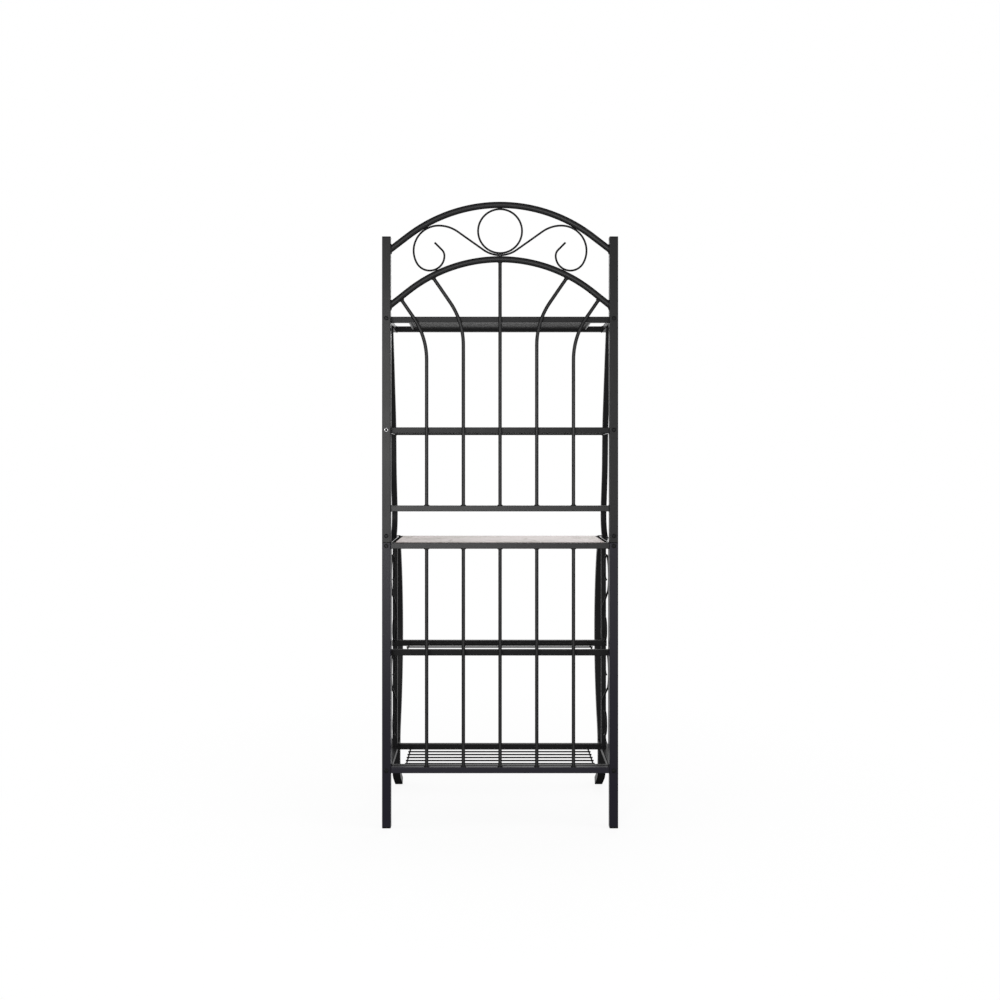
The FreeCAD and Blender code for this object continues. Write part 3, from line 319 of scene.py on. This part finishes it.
def turned_away(tree):
    """How far a face turns from the eye: 0 where it meets it, 1 where it is edge-on."""
    return add_node(tree, "ShaderNodeLayerWeight", (("Blend", 0.5),)).outputs["Facing"]


def open_faces(tree):
    """1 on flat faces and towards the eye, 0 on roundings that turn away from it, whose
    reflections are taken off as painted shade.
    """
    away = mask_between(tree, turned_away(tree), 0.04, 0.42)
    return inverse(tree, product(tree, away, inverse(tree, flatness(tree))))


def edge_on_faces(tree):
    """1 on faces seen nearly edge-on, little on the others; it places the side rails'
    painted highlight.
    """
    return spread(tree, turned_away(tree), 0.08, 1.0, low=0.75, high=0.90)


def floor_shaded_faces(tree):
    """Open faces that reflect less towards the floor: painted shade that darkens the legs
    there.
    """
    foot_shade = spread(tree, along(tree, "Z"), 0.5, 1.0, low=0.10, high=0.50)
    return product(tree, open_faces(tree), foot_shade)


def rear_part(tree):
    """1 on the rear half of the top shelf, fading to 0 at its front bar; the wires there
    lose their reflections as painted shade.
    """
    middle = sum(corner.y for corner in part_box("top_shelf_grid")) / 2
    return mask_between(tree, along(tree, "Y"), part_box("top_shelf_front_bar")[0].y, middle)


# ------------------------------------------------------------------ finishes

def coat_grain_group():
    """Orange peel, uneven gloss and a little dust, for everything that is coated."""
    group, start, end = new_group(
        "coat grain",
        (("Place", "NodeSocketVector"), ("Color", "NodeSocketColor"),
         ("Dust", "NodeSocketColor"), ("Roughness", "NodeSocketFloat"),
         ("Cells", "NodeSocketFloat")),
        (("Color", "NodeSocketColor"), ("Roughness", "NodeSocketFloat"),
         ("Normal", "NodeSocketVector")))
    given = start.outputs
    peel = noise(group, given["Place"], given["Cells"], roughness=0.45)["Fac"]
    patch = noise(group, given["Place"], 9.0, detail=3.0)["Fac"]
    speck = noise(group, given["Place"], 420.0, detail=1.0)["Fac"]
    dusty = product(group, mask_between(group, speck, 0.45, 0.75),
                    mask_between(group, patch, 0.35, 0.70))
    dusty = product(group, dusty, mask_between(group, upward(group), 0.55, 1.0))
    shade = mix_colour(group, product(group, dusty, 0.25), given["Color"], given["Dust"])
    rough = calculate(group, "ADD", given["Roughness"], spread(group, patch, -0.05, 0.07))
    fill(group, end, (("Color", shade), ("Roughness", rough),
                      ("Normal", relief(group, peel, 0.01 * MM))))
    return group


def coated_material(name, group, rgb, gloss, glossy_part=open_faces, change=0.0, cell=1.0):
    """A black coat whose colour and relief come from the coat grain group.

    It reflects with the given gloss where glossy_part says, or everywhere without it.
    Its roughness differs from the coat's by change, and its grain is cell times as wide.
    """
    coat = bpy.context.scene.rack_coat
    material, tree, shader = new_material(name)
    grain = add_node(tree, "ShaderNodeGroup",
                     (("Place", object_place(tree)), ("Color", opaque(rgb)),
                      ("Dust", opaque(coat.dust)), ("Roughness", coat.roughness + change),
                      ("Cells", 1 / (coat.grain * cell))), node_tree=group).outputs
    if glossy_part:
        gloss = product(tree, glossy_part(tree), gloss)
    fill(tree, shader, (("Base Color", grain["Color"]), ("Roughness", grain["Roughness"]),
                        ("Normal", grain["Normal"]), ("Specular IOR Level", gloss)))
    return material


def cover(tree, shader, mask, rgb):
    """Lay a colour without gloss over a coat where a mask is 1."""
    shade, gloss = [shader.inputs[name].links[0].from_socket
                    for name in ("Base Color", "Specular IOR Level")]
    fill(tree, shader,
         (("Base Color", mix_colour(tree, mask, shade, opaque(rgb))),
          ("Specular IOR Level", product(tree, inverse(tree, mask), gloss))))


def post_material(name, group, rgb, gloss, glossy_part):
    """The coat of the posts, with the dark seam where the upper ones stand on the lower."""
    material = coated_material(name, group, rgb, gloss, glossy_part)
    tree = material.node_tree
    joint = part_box("upper_post_left")[0].z
    away = calculate(tree, "ABSOLUTE", calculate(tree, "SUBTRACT", along(tree, "Z"), joint))
    cover(tree, tree.nodes["Principled BSDF"],
          mask_between(tree, away, SEAM_EDGE, SEAM_CORE), BLACK)
    return material


def bolt_material(group, coat):
    """Dark bolts, and the bare zinc face of the one that lost its coat, with painted shade
    in its socket.
    """
    material = coated_material("bolt_coat", group, coat.caps, coat.bolt_gloss)
    tree = material.node_tree
    shader = tree.nodes["Principled BSDF"]
    low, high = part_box("second_shelf_side_rails")
    post_low, post_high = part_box("upper_post_left")
    axis = ((post_low.x + post_high.x) / 2, post_low.y, (low.z + high.z) / 2)
    away = combine(tree, "SUBTRACT", object_place(tree), axis)
    radius = vector_length(tree, combine(tree, "MULTIPLY", away, tuple(X_AXIS + Z_AXIS)))
    # the socket is painted black: painted shade in the recess
    socket_shade = mask_between(tree, radius, HOLE_EDGE, HOLE_CORE)
    ring = mask_between(tree, radius, RING_EDGE, RING_CORE)
    bare = product(tree, ring, inverse(tree, socket_shade))
    cover(tree, shader, socket_shade, BLACK)
    coloured = shader.inputs["Base Color"].links[0].from_socket
    fill(tree, shader, (("Base Color", mix_colour(tree, bare, coloured, opaque(coat.zinc))),
                        ("Metallic", bare)))
    return material


def marble_material(board):
    """A pale printed laminate: soft clouds, thin veins and a darker wrapped edge."""
    material, tree, shader = new_material("marble_laminate")
    place, spacing = object_place(tree), board.vein_spacing
    warp = noise(tree, place, 0.9 / spacing, detail=4.0)["Color"]
    bend = combine(tree, "SUBTRACT", warp, (0.5, 0.5, 0.5))
    bend = add_node(tree, "ShaderNodeVectorMath", ((0, bend), ("Scale", spacing * 1.6)),
                    operation="SCALE").outputs["Vector"]
    bent = combine(tree, "ADD", place, bend)
    clouds = noise(tree, bent, 0.7 / spacing, detail=5.0, roughness=0.55)["Fac"]
    ridge = noise(tree, bent, 0.45 / spacing)["Fac"]
    crest = calculate(tree, "ABSOLUTE", calculate(tree, "SUBTRACT", ridge, 0.5))
    veins = product(tree, mask_between(tree, crest, 0.028, 0.002), 0.55)
    shade = mix_colour(tree, mask_between(tree, clouds, 0.42, 0.70), opaque(board.ground),
                       opaque(board.cloud))
    shade = mix_colour(tree, veins, shade, opaque(board.vein))
    shade = mix_colour(tree, mask_between(tree, upward(tree), 0.45, 0.80),
                       opaque(board.edging), shade)
    rough = spread(tree, clouds, board.roughness - 0.04, board.roughness + 0.06)
    fine = noise(tree, place, 900.0)["Fac"]
    fill(tree, shader, (("Base Color", shade), ("Roughness", rough),
                        ("Normal", relief(tree, fine, 0.02 * MM)),
                        ("Specular IOR Level", board.gloss)))
    return material


def bare_steel_material():
    """Drawn steel with fine lines along it, inside the tubes."""
    material, tree, shader = new_material("bare_steel")
    stretched = add_node(tree, "ShaderNodeMapping",
                         (("Vector", object_place(tree)),
                          ("Scale", (900.0, 900.0, 20.0)))).outputs["Vector"]
    lines = noise(tree, stretched, 1.0)["Fac"]
    shade = mix_colour(tree, lines, (0.30, 0.30, 0.31, 1.0), (0.45, 0.45, 0.46, 1.0))
    fill(tree, shader, (("Base Color", shade), ("Roughness", spread(tree, lines, 0.3, 0.5)),
                        ("Metallic", 1.0)))
    return material


def set_finish(node, material):
    """Give a node, or a new piece, one material."""
    slots = node.data.materials
    for index in range(len(slots)):
        slots[index] = material
    if not slots:
        slots.append(material)


# ------------------------------------------------------------------ places

def points_of(name):
    """The places of a node's vertices."""
    return [vertex.co for vertex in frame["nodes"][name].data.vertices]


def centre(points):
    """The middle of the box round some points."""
    return Vector([(min(p[i] for p in points) + max(p[i] for p in points)) / 2
                   for i in range(3)])


def clusters(values):
    """The middles of the bunches that some numbers fall into."""
    bunches = []
    for value in sorted(values):
        if bunches and value - bunches[-1][-1] < WIRE_GAP:
            bunches[-1].append(value)
        else:
            bunches.append([value])
    return [(bunch[0] + bunch[-1]) / 2 for bunch in bunches]


def spot_between(first, second, where=None):
    """The middle of the gap where two nodes come nearest, in the part where() allows."""
    mesh = frame["nodes"][second].data
    tree = BVHTree.FromPolygons(points_of(second), [p.vertices for p in mesh.polygons])
    best = None
    for point in points_of(first):
        if where and not where(point):
            continue
        hit, _, _, distance = tree.find_nearest(point)
        if best is None or distance < best[0]:
            best = (distance, (point + hit) / 2)
    return best[1]


def rod_ends(name):
    """Both ends of a rod: each end's centre and the rod's way there."""
    points = points_of(name)
    low, high = min(p.z for p in points), max(p.z for p in points)
    near, far = STRAIGHT_END
    foot = centre([p for p in points if p.z < low + MM])
    top = centre([p for p in points if p.z > high - MITRE])
    below = centre([p for p in points if high - near > p.z > high - far] or [foot])
    return (foot, Z_AXIS), (top, top - below)


def rail_front(name):
    """The middle of a side rail's coped front end, and the way up along that end."""
    points = points_of(name)
    low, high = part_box(name)
    x = (low.x + high.x) / 2
    under = max(p.y for p in points if p.z < low.z + COPE)
    over = max(p.y for p in points if p.z > high.z - COPE)
    bottom, top = Vector((x, under, low.z)), Vector((x, over, high.z))
    return (bottom + top) / 2, top - bottom


def placed(spot, axis=Z_AXIS, across=None):
    """The move of a bead to a spot that turns Z to an axis, and X towards across."""
    axis = axis.normalized()
    if across is None:
        turn = Z_AXIS.rotation_difference(axis).to_matrix()
    else:
        across = (across - axis * axis.dot(across)).normalized()
        turn = Matrix((across, axis.cross(across), axis)).transposed()
    return Matrix.Translation(spot) @ turn.to_4x4()


# ------------------------------------------------------------------ weld beads

def roughen(bead, ripple, seed):
    """Shake the skin of the active bead and smooth it a little."""
    bpy.ops.object.mode_set(mode="EDIT")
    bpy.ops.mesh.select_all(action="SELECT")
    bpy.ops.transform.vertex_random(offset=ripple, normal=1.0, seed=seed)
    bpy.ops.mesh.vertices_smooth(factor=0.3)
    bpy.ops.object.mode_set(mode="OBJECT")
    bpy.ops.object.shade_smooth()
    return bead


def round_bead(radius, size, weld):
    """A bead round a rod, as if the rod stood up from the origin along Z."""
    bpy.ops.object.select_all(action="DESELECT")
    bpy.ops.mesh.primitive_torus_add(
        major_segments=28, minor_segments=8, major_radius=radius + 0.1 * size,
        minor_radius=0.5 * size)
    return roughen(bpy.context.active_object, weld.ripple, seed=5)


def square_bead(width, height, weld):
    """A bead round the end of a rail, as if the rail ran along Z."""
    bpy.ops.object.select_all(action="DESELECT")
    bpy.ops.mesh.primitive_cube_add(size=1)
    bead = bpy.context.active_object
    bead.scale = (width + weld.bead, height + weld.bead, weld.bead)
    bpy.ops.object.transform_apply(location=False, rotation=False, scale=True)
    bpy.ops.object.mode_set(mode="EDIT")
    bpy.ops.mesh.select_all(action="SELECT")
    bpy.ops.mesh.bevel(offset=0.45 * weld.bead, segments=3, affect="EDGES")
    bpy.ops.mesh.subdivide(number_cuts=2)
    bpy.ops.object.mode_set(mode="OBJECT")
    return roughen(bead, weld.ripple, seed=8)


def spot_bead(length, weld):
    """A short bead along X, between two wires."""
    bpy.ops.object.select_all(action="DESELECT")
    bpy.ops.mesh.primitive_ico_sphere_add(subdivisions=2, radius=0.5 * weld.spot)
    bead = bpy.context.active_object
    bead.scale = (length / weld.spot, 1.0, 0.8)
    bpy.ops.object.transform_apply(location=False, rotation=False, scale=True)
    return roughen(bead, 0.6 * weld.ripple, seed=2)


def gather(name, template, matrices, material):
    """Copies of a template at each matrix, joined into one named piece."""
    copies = []
    for matrix in matrices:
        copy = template.copy()
        copy.data = template.data.copy()
        copy.data.transform(matrix)
        bpy.context.collection.objects.link(copy)
        copies.append(copy)
    template_mesh = template.data
    bpy.data.objects.remove(template)
    bpy.data.meshes.remove(template_mesh)
    bpy.ops.object.select_all(action="DESELECT")
    for copy in copies:
        copy.select_set(True)
    bpy.context.view_layer.objects.active = copies[0]
    if len(copies) > 1:
        bpy.ops.object.join()
    piece = bpy.context.active_object
    piece.name = name
    piece.data.name = name
    set_finish(piece, material)
    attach(piece, "root")


def steel_finish():
    """The coat of the rear frame, which its beads share."""
    return bpy.data.materials["powder_coat"]


def shaded_inner_finish():
    """The coat of the shelves and the sides, which their beads share; its weak reflections
    are painted shade.
    """
    return bpy.data.materials["shaded_inner_coat"]


# ------------------------------------------------------------------ operators

class RACK_OT_finish_nodes(bpy.types.Operator):
    """Give every node of the frame its finish"""
    bl_idname = "rack.finish_nodes"
    bl_label = "Finish the nodes"

    def execute(self, context):
        coat = context.scene.rack_coat
        group = coat_grain_group()
        steel, lower, full = coat.steel, coat.lower_steel, coat.highlight_gloss
        by_slot = {
            "coated_steel": coated_material("powder_coat", group, steel, coat.gloss),
            "coated_wire": coated_material("wire_coat", group, steel, coat.inner_gloss,
                                           cell=0.7),
            "plastic_caps": coated_material("cap_plastic", group, coat.caps,
                                            coat.inner_gloss, change=0.1, cell=0.5),
            "marble_board": marble_material(context.scene.rack_board),
            "zinc_fasteners": bolt_material(group, coat),
            "bare_steel": bare_steel_material(),
        }
        # the inner coat reflects less than the rear frame: painted shade on the parts
        # further in
        inner = coated_material("shaded_inner_coat", group, steel, coat.inner_gloss)
        # the rails and rods reflect more and the upper shelves' rear bars less than the
        # posts: painted light and shade
        rails = coated_material("rail_coat", group, steel, coat.rail_gloss)
        bars = coated_material("bar_coat", group, steel, coat.bar_gloss)
        # the side rails reflect strongly only where seen edge-on: a painted highlight
        glossy = coated_material("edge_highlight_coat", group, steel, full, edge_on_faces,
                                 change=-0.26)
        by_name = (
            ("upper_post", post_material("post_coat", group, steel, coat.gloss,
                                         open_faces)),
            # the lower posts' reflections fade towards the floor: painted shade
            ("lower_post", post_material("lower_post_coat", group, lower, coat.gloss,
                                         floor_shaded_faces)),
            ("bottom_rear_rail", coated_material("lower_coat", group, lower, coat.gloss)),
            ("upper_rod", rails), ("lower_rod", rails),
            ("upper_rear_rail", rails), ("worktop_rear_rail", rails),
            ("top_shelf_rear_bar", bars), ("second_shelf_rear_bar", bars),
            # the middle shelf's rear bar takes the inner coat: painted shade
            ("middle_shelf_rear_bar", inner),
            ("worktop_side_rail", glossy), ("second_shelf_side_rails", glossy),
            # the ledges get no reflections, so they render dark: painted shade between the
            # board and the side rails
            ("worktop_ledges", coated_material("shaded_ledge_coat", group, steel, 0.0, None)),
            # the top shelf's wires reflect fully at the rear and not at all at the front
            # bar: painted highlight and painted shade
            ("top_shelf_grid", coated_material("front_shaded_wire", group, steel, full,
                                               rear_part, cell=0.7)),
        )
        rear_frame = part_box("upper_post_left")[1].y + REAR_REACH
        for part in frame["record"]["subparts"]:
            name, slot = part["node"], part["material_slot"]
            finish = by_slot[slot]
            if slot == "coated_steel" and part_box(name)[1].y > rear_frame:
                finish = inner
            for start, other in by_name:
                if name.startswith(start):
                    finish = other
            set_finish(frame["nodes"][name], finish)
        return {"FINISHED"}


class RACK_OT_weld_rods(bpy.types.Operator):
    """Weld the rods of the grille to their rails and to the inner arch"""
    bl_idname = "rack.weld_rods"
    bl_label = "Weld the rods"

    def execute(self, context):
        weld = context.scene.rack_weld
        low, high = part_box("lower_rod_centre")
        radius = (high.x - low.x) / 2
        on_rails, on_arch = [], []
        for name in sorted(n for n in frame["nodes"] if "_rod_" in n):
            foot, top = [placed(spot, axis) for spot, axis in rod_ends(name)]
            on_rails.append(foot)
            (on_arch if name.startswith("upper") else on_rails).append(top)
        gather("rod_rail_welds", round_bead(radius, weld.collar, weld), on_rails,
               steel_finish())
        gather("rod_arch_welds", round_bead(radius, weld.arch_collar, weld), on_arch,
               steel_finish())
        return {"FINISHED"}


class RACK_OT_weld_arches(bpy.types.Operator):
    """Weld the arches to the posts, and the ring and the scrolls to the arches"""
    bl_idname = "rack.weld_arches"
    bl_label = "Weld the arches"

    def execute(self, context):
        weld = context.scene.rack_weld
        low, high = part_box("outer_arch")
        radius = (high.y - low.y) / 2
        ends = []
        for name in ("outer_arch", "inner_arch"):
            for _, side in SIDES:
                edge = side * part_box(name)[1].x
                end = [p for p in points_of(name) if abs(p.x - edge) < MM]
                height = max(p.z for p in end) - min(p.z for p in end)
                stretch = Matrix.Diagonal((1.0, height / (2 * radius), 1.0, 1.0))
                ends.append(placed(centre(end), X_AXIS, Y_AXIS) @ stretch)
        gather("arch_welds", round_bead(radius, weld.collar, weld), ends, steel_finish())
        spots = []
        for first, second in (("crest_ring", "outer_arch"),
                              ("crest_ring", "crest_scroll_left"),
                              ("crest_scroll_left", "inner_arch")):
            spot = spot_between(first, second)
            spots.append(Vector((0, spot.y, spot.z)))
        for name, side in SIDES:
            scroll = "crest_scroll_" + name
            spots.append(spot_between(scroll, "outer_arch"))
            spots.append(spot_between(scroll, "inner_arch",
                                      lambda p: p.x * side > CREST_HALF))
        gather("crest_welds", spot_bead(weld.crest_spot_length, weld),
               [placed(spot) for spot in spots], steel_finish())
        return {"FINISHED"}


class RACK_OT_weld_wires(bpy.types.Operator):
    """Weld the shelf wires where they cross and the side scrolls to their uprights"""
    bl_idname = "rack.weld_wires"
    bl_label = "Weld the wires"

    def execute(self, context):
        weld = context.scene.rack_weld
        crossings, ends = [], []
        for level in ("top", "second", "middle", "bottom"):
            name = level + "_shelf_grid"
            low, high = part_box(name)
            points = points_of(name)
            long_wires = clusters([p.y for p in points if p.x > high.x - SKIN])
            cross_ends = [p for p in points if p.y < low.y + SKIN]
            top = max(p.z for p in cross_ends)
            height = centre(cross_ends).z
            for x in clusters([p.x for p in cross_ends]):
                crossings += [placed(Vector((x, y, top))) for y in long_wires]
                ends += [placed(Vector((x, y, height)), Y_AXIS) for y in (low.y, high.y)]
        gather("crossing_welds", spot_bead(weld.spot_length, weld), crossings,
               shaded_inner_finish())
        gather("wire_end_welds", round_bead(SHELF_WIRE_RADIUS, weld.spot, weld), ends,
               shaded_inner_finish())
        spots = []
        for name, _ in SIDES:
            points = points_of("side_scrolls_" + name)
            middle = centre(points)
            for upper in (True, False):
                level = [p for p in points if (p.z > middle.z) == upper]
                spots += [min(level, key=lambda p: p.y), max(level, key=lambda p: p.y)]
        gather("scroll_welds", spot_bead(weld.spot_length, weld),
               [placed(spot, X_AXIS) for spot in spots], shaded_inner_finish())
        return {"FINISHED"}


class RACK_OT_weld_rails(bpy.types.Operator):
    """Weld the rails and the shelf bars to what they meet"""
    bl_idname = "rack.weld_rails"
    bl_label = "Weld the rails"

    def execute(self, context):
        weld = context.scene.rack_weld
        ends = []
        for name in ("upper_rear_rail", "worktop_rear_rail", "bottom_rear_rail",
                     "worktop_front_rail", "bottom_shelf_rear_bar",
                     "bottom_shelf_front_bar", "top_shelf_rear_bar",
                     "top_shelf_front_bar", "second_shelf_rear_bar",
                     "second_shelf_front_bar"):
            low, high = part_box(name)
            middle = (low + high) / 2
            ends += [placed(Vector((x, middle.y, middle.z)), X_AXIS, Y_AXIS)
                     for x in (low.x, high.x)]
        low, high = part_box("upper_rear_rail")
        gather("rail_welds", square_bead(high.y - low.y, high.z - low.z, weld), ends,
               steel_finish())
        ends = []
        for name, _ in SIDES:
            low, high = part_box("side_uprights_" + name)
            width = high.x - low.x
            ends += [placed(Vector(((low.x + high.x) / 2, y, z)))
                     for y in (low.y + width / 2, high.y - width / 2)
                     for z in (low.z, high.z)]
        gather("upright_welds", square_bead(width, width, weld), ends, shaded_inner_finish())
        return {"FINISHED"}


class RACK_OT_weld_sides(bpy.types.Operator):
    """Weld the bows to their rails and the side rails to the legs"""
    bl_idname = "rack.weld_sides"
    bl_label = "Weld the sides"

    def execute(self, context):
        weld = context.scene.rack_weld
        for name, _ in SIDES:
            low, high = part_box("side_bow_" + name)
            points = points_of("side_bow_" + name)
            for label, end in (("top", [p for p in points if p.z > high.z - SKIN]),
                               ("foot", [p for p in points if p.z < low.z + SKIN])):
                depth = max(p.y for p in end) - min(p.y for p in end)
                gather(f"bow_{label}_weld_{name}",
                       square_bead(high.x - low.x, depth, weld), [placed(centre(end))],
                       shaded_inner_finish())
            for rail in ("worktop_side_rail_", "bottom_shelf_side_rail_"):
                spot, slope = rail_front(rail + name)
                low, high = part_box(rail + name)
                gather(f"{rail}weld_{name}",
                       square_bead(high.x - low.x, slope.length, weld),
                       [placed(spot, X_AXIS.cross(slope), X_AXIS)], shaded_inner_finish())
        return {"FINISHED"}


class RACK_OT_set_stage(bpy.types.Operator):
    """Set the floor, the lamps, the surroundings and the camera"""
    bl_idname = "rack.set_stage"
    bl_label = "Set the stage"

    def execute(self, context):
        stage = context.scene.rack_stage
        add_floor()
        add_surroundings(context, stage)
        for name, power_share, size, spot in LAMPS:
            add_lamp(context, name, stage.lamp * power_share, size, spot)
        add_camera(context, stage)
        context.scene.view_settings.view_transform = "Standard"
        return {"FINISHED"}


# ------------------------------------------------------------------ stage

def white_where_seen(tree):
    """The factor that is 1 for the rays that see a surface, straight or in a gloss."""
    rays = tree.nodes.new("ShaderNodeLightPath").outputs
    seen = calculate(tree, "MAXIMUM", rays["Is Camera Ray"], rays["Is Glossy Ray"])
    return calculate(tree, "MAXIMUM", seen, rays["Is Transmission Ray"])


def add_floor():
    """A wide pale floor that is nearly white where it is seen and keeps a soft shadow."""
    bpy.ops.object.select_all(action="DESELECT")
    bpy.ops.mesh.primitive_plane_add(size=FLOOR_SIZE, location=FLOOR_CENTRE)
    floor = bpy.context.active_object
    floor.name = "floor"
    bpy.ops.object.transform_apply(location=True, rotation=False, scale=True)
    material = bpy.data.materials.new("pale_floor")
    material.use_nodes = True
    tree = material.node_tree
    tree.nodes.clear()
    glowing = spread(tree, vector_length(tree, object_place(tree)), SHADOW_GLOW, 1.0,
                     low=SHADOW_NEAR, high=SHADOW_FAR)
    factor = product(tree, white_where_seen(tree), glowing)
    matt = add_node(tree, "ShaderNodeBsdfDiffuse", (("Color", FLOOR_COLOUR),))
    glow = add_node(tree, "ShaderNodeEmission", (("Strength", 1.0),))
    both = add_node(tree, "ShaderNodeMixShader",
                    ((0, factor), (1, matt.outputs[0]), (2, glow.outputs[0])))
    add_node(tree, "ShaderNodeOutputMaterial", (("Surface", both.outputs[0]),))
    set_finish(floor, material)


def add_surroundings(context, stage):
    """White surroundings where they are seen, and a plain soft light elsewhere."""
    world = bpy.data.worlds.new("soft_room")
    context.scene.world = world
    world.use_nodes = True
    tree = world.node_tree
    strength = spread(tree, white_where_seen(tree), stage.ambient, 1.0)
    fill(tree, tree.nodes["Background"], (("Color", (1, 1, 1, 1)), ("Strength", strength)))


def add_lamp(context, name, power, size, spot):
    """A square soft lamp at a spot, aimed at the middle of the rack."""
    lamp = bpy.data.lights.new(name, "AREA")
    lamp.energy = power
    lamp.size = size
    holder = bpy.data.objects.new(name, lamp)
    context.scene.collection.objects.link(holder)
    holder.location = spot
    way = Vector(LAMP_TARGET) - Vector(spot)
    holder.rotation_euler = way.to_track_quat("-Z", "Y").to_euler()


def add_camera(context, stage):
    """A level camera square to the rack's rear."""
    camera = bpy.data.cameras.new("camera")
    camera.lens = stage.lens
    camera.sensor_width = SENSOR_WIDTH
    camera.shift_x = stage.shift_x
    camera.shift_y = stage.shift_y
    holder = bpy.data.objects.new("camera", camera)
    context.scene.collection.objects.link(holder)
    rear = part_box("lower_post_left")[0].y
    holder.location = (stage.offset, rear - stage.distance, stage.height)
    holder.rotation_euler = (math.radians(90), 0, 0)
    context.scene.camera = holder


# ------------------------------------------------------------------ panel and run

STEPS = (RACK_OT_finish_nodes, RACK_OT_weld_rods, RACK_OT_weld_arches,
         RACK_OT_weld_wires, RACK_OT_weld_rails, RACK_OT_weld_sides, RACK_OT_set_stage)
GROUPS = (("rack_coat", RACK_PG_coat), ("rack_board", RACK_PG_board),
          ("rack_weld", RACK_PG_weld), ("rack_stage", RACK_PG_stage))


class RACK_PT_sidebar(bpy.types.Panel):
    """Lists the rack's settings and steps"""
    bl_idname = "RACK_PT_sidebar"
    bl_label = "Bakers rack"
    bl_space_type = "VIEW_3D"
    bl_region_type = "UI"
    bl_category = "Rack"

    def draw(self, context):
        for attribute, group in GROUPS:
            box = self.layout.box()
            for name in group.__annotations__:
                box.prop(getattr(context.scene, attribute), name)
        for step in STEPS:
            self.layout.operator(step.bl_idname)


def register():
    """Register the settings, the steps and the panel."""
    for attribute, group in GROUPS:
        bpy.utils.register_class(group)
        setattr(bpy.types.Scene, attribute, PointerProperty(type=group))
    for step in (*STEPS, RACK_PT_sidebar):
        bpy.utils.register_class(step)


def unregister():
    """Take the panel, the steps and the settings away again."""
    for step in (RACK_PT_sidebar, *STEPS):
        bpy.utils.unregister_class(step)
    for attribute, group in GROUPS:
        delattr(bpy.types.Scene, attribute)
        bpy.utils.unregister_class(group)


def main():
    """Run every step in order."""
    register()
    for step in STEPS:
        family, name = step.bl_idname.split(".")
        getattr(getattr(bpy.ops, family), name)()


if __name__ == "__main__":
    main()
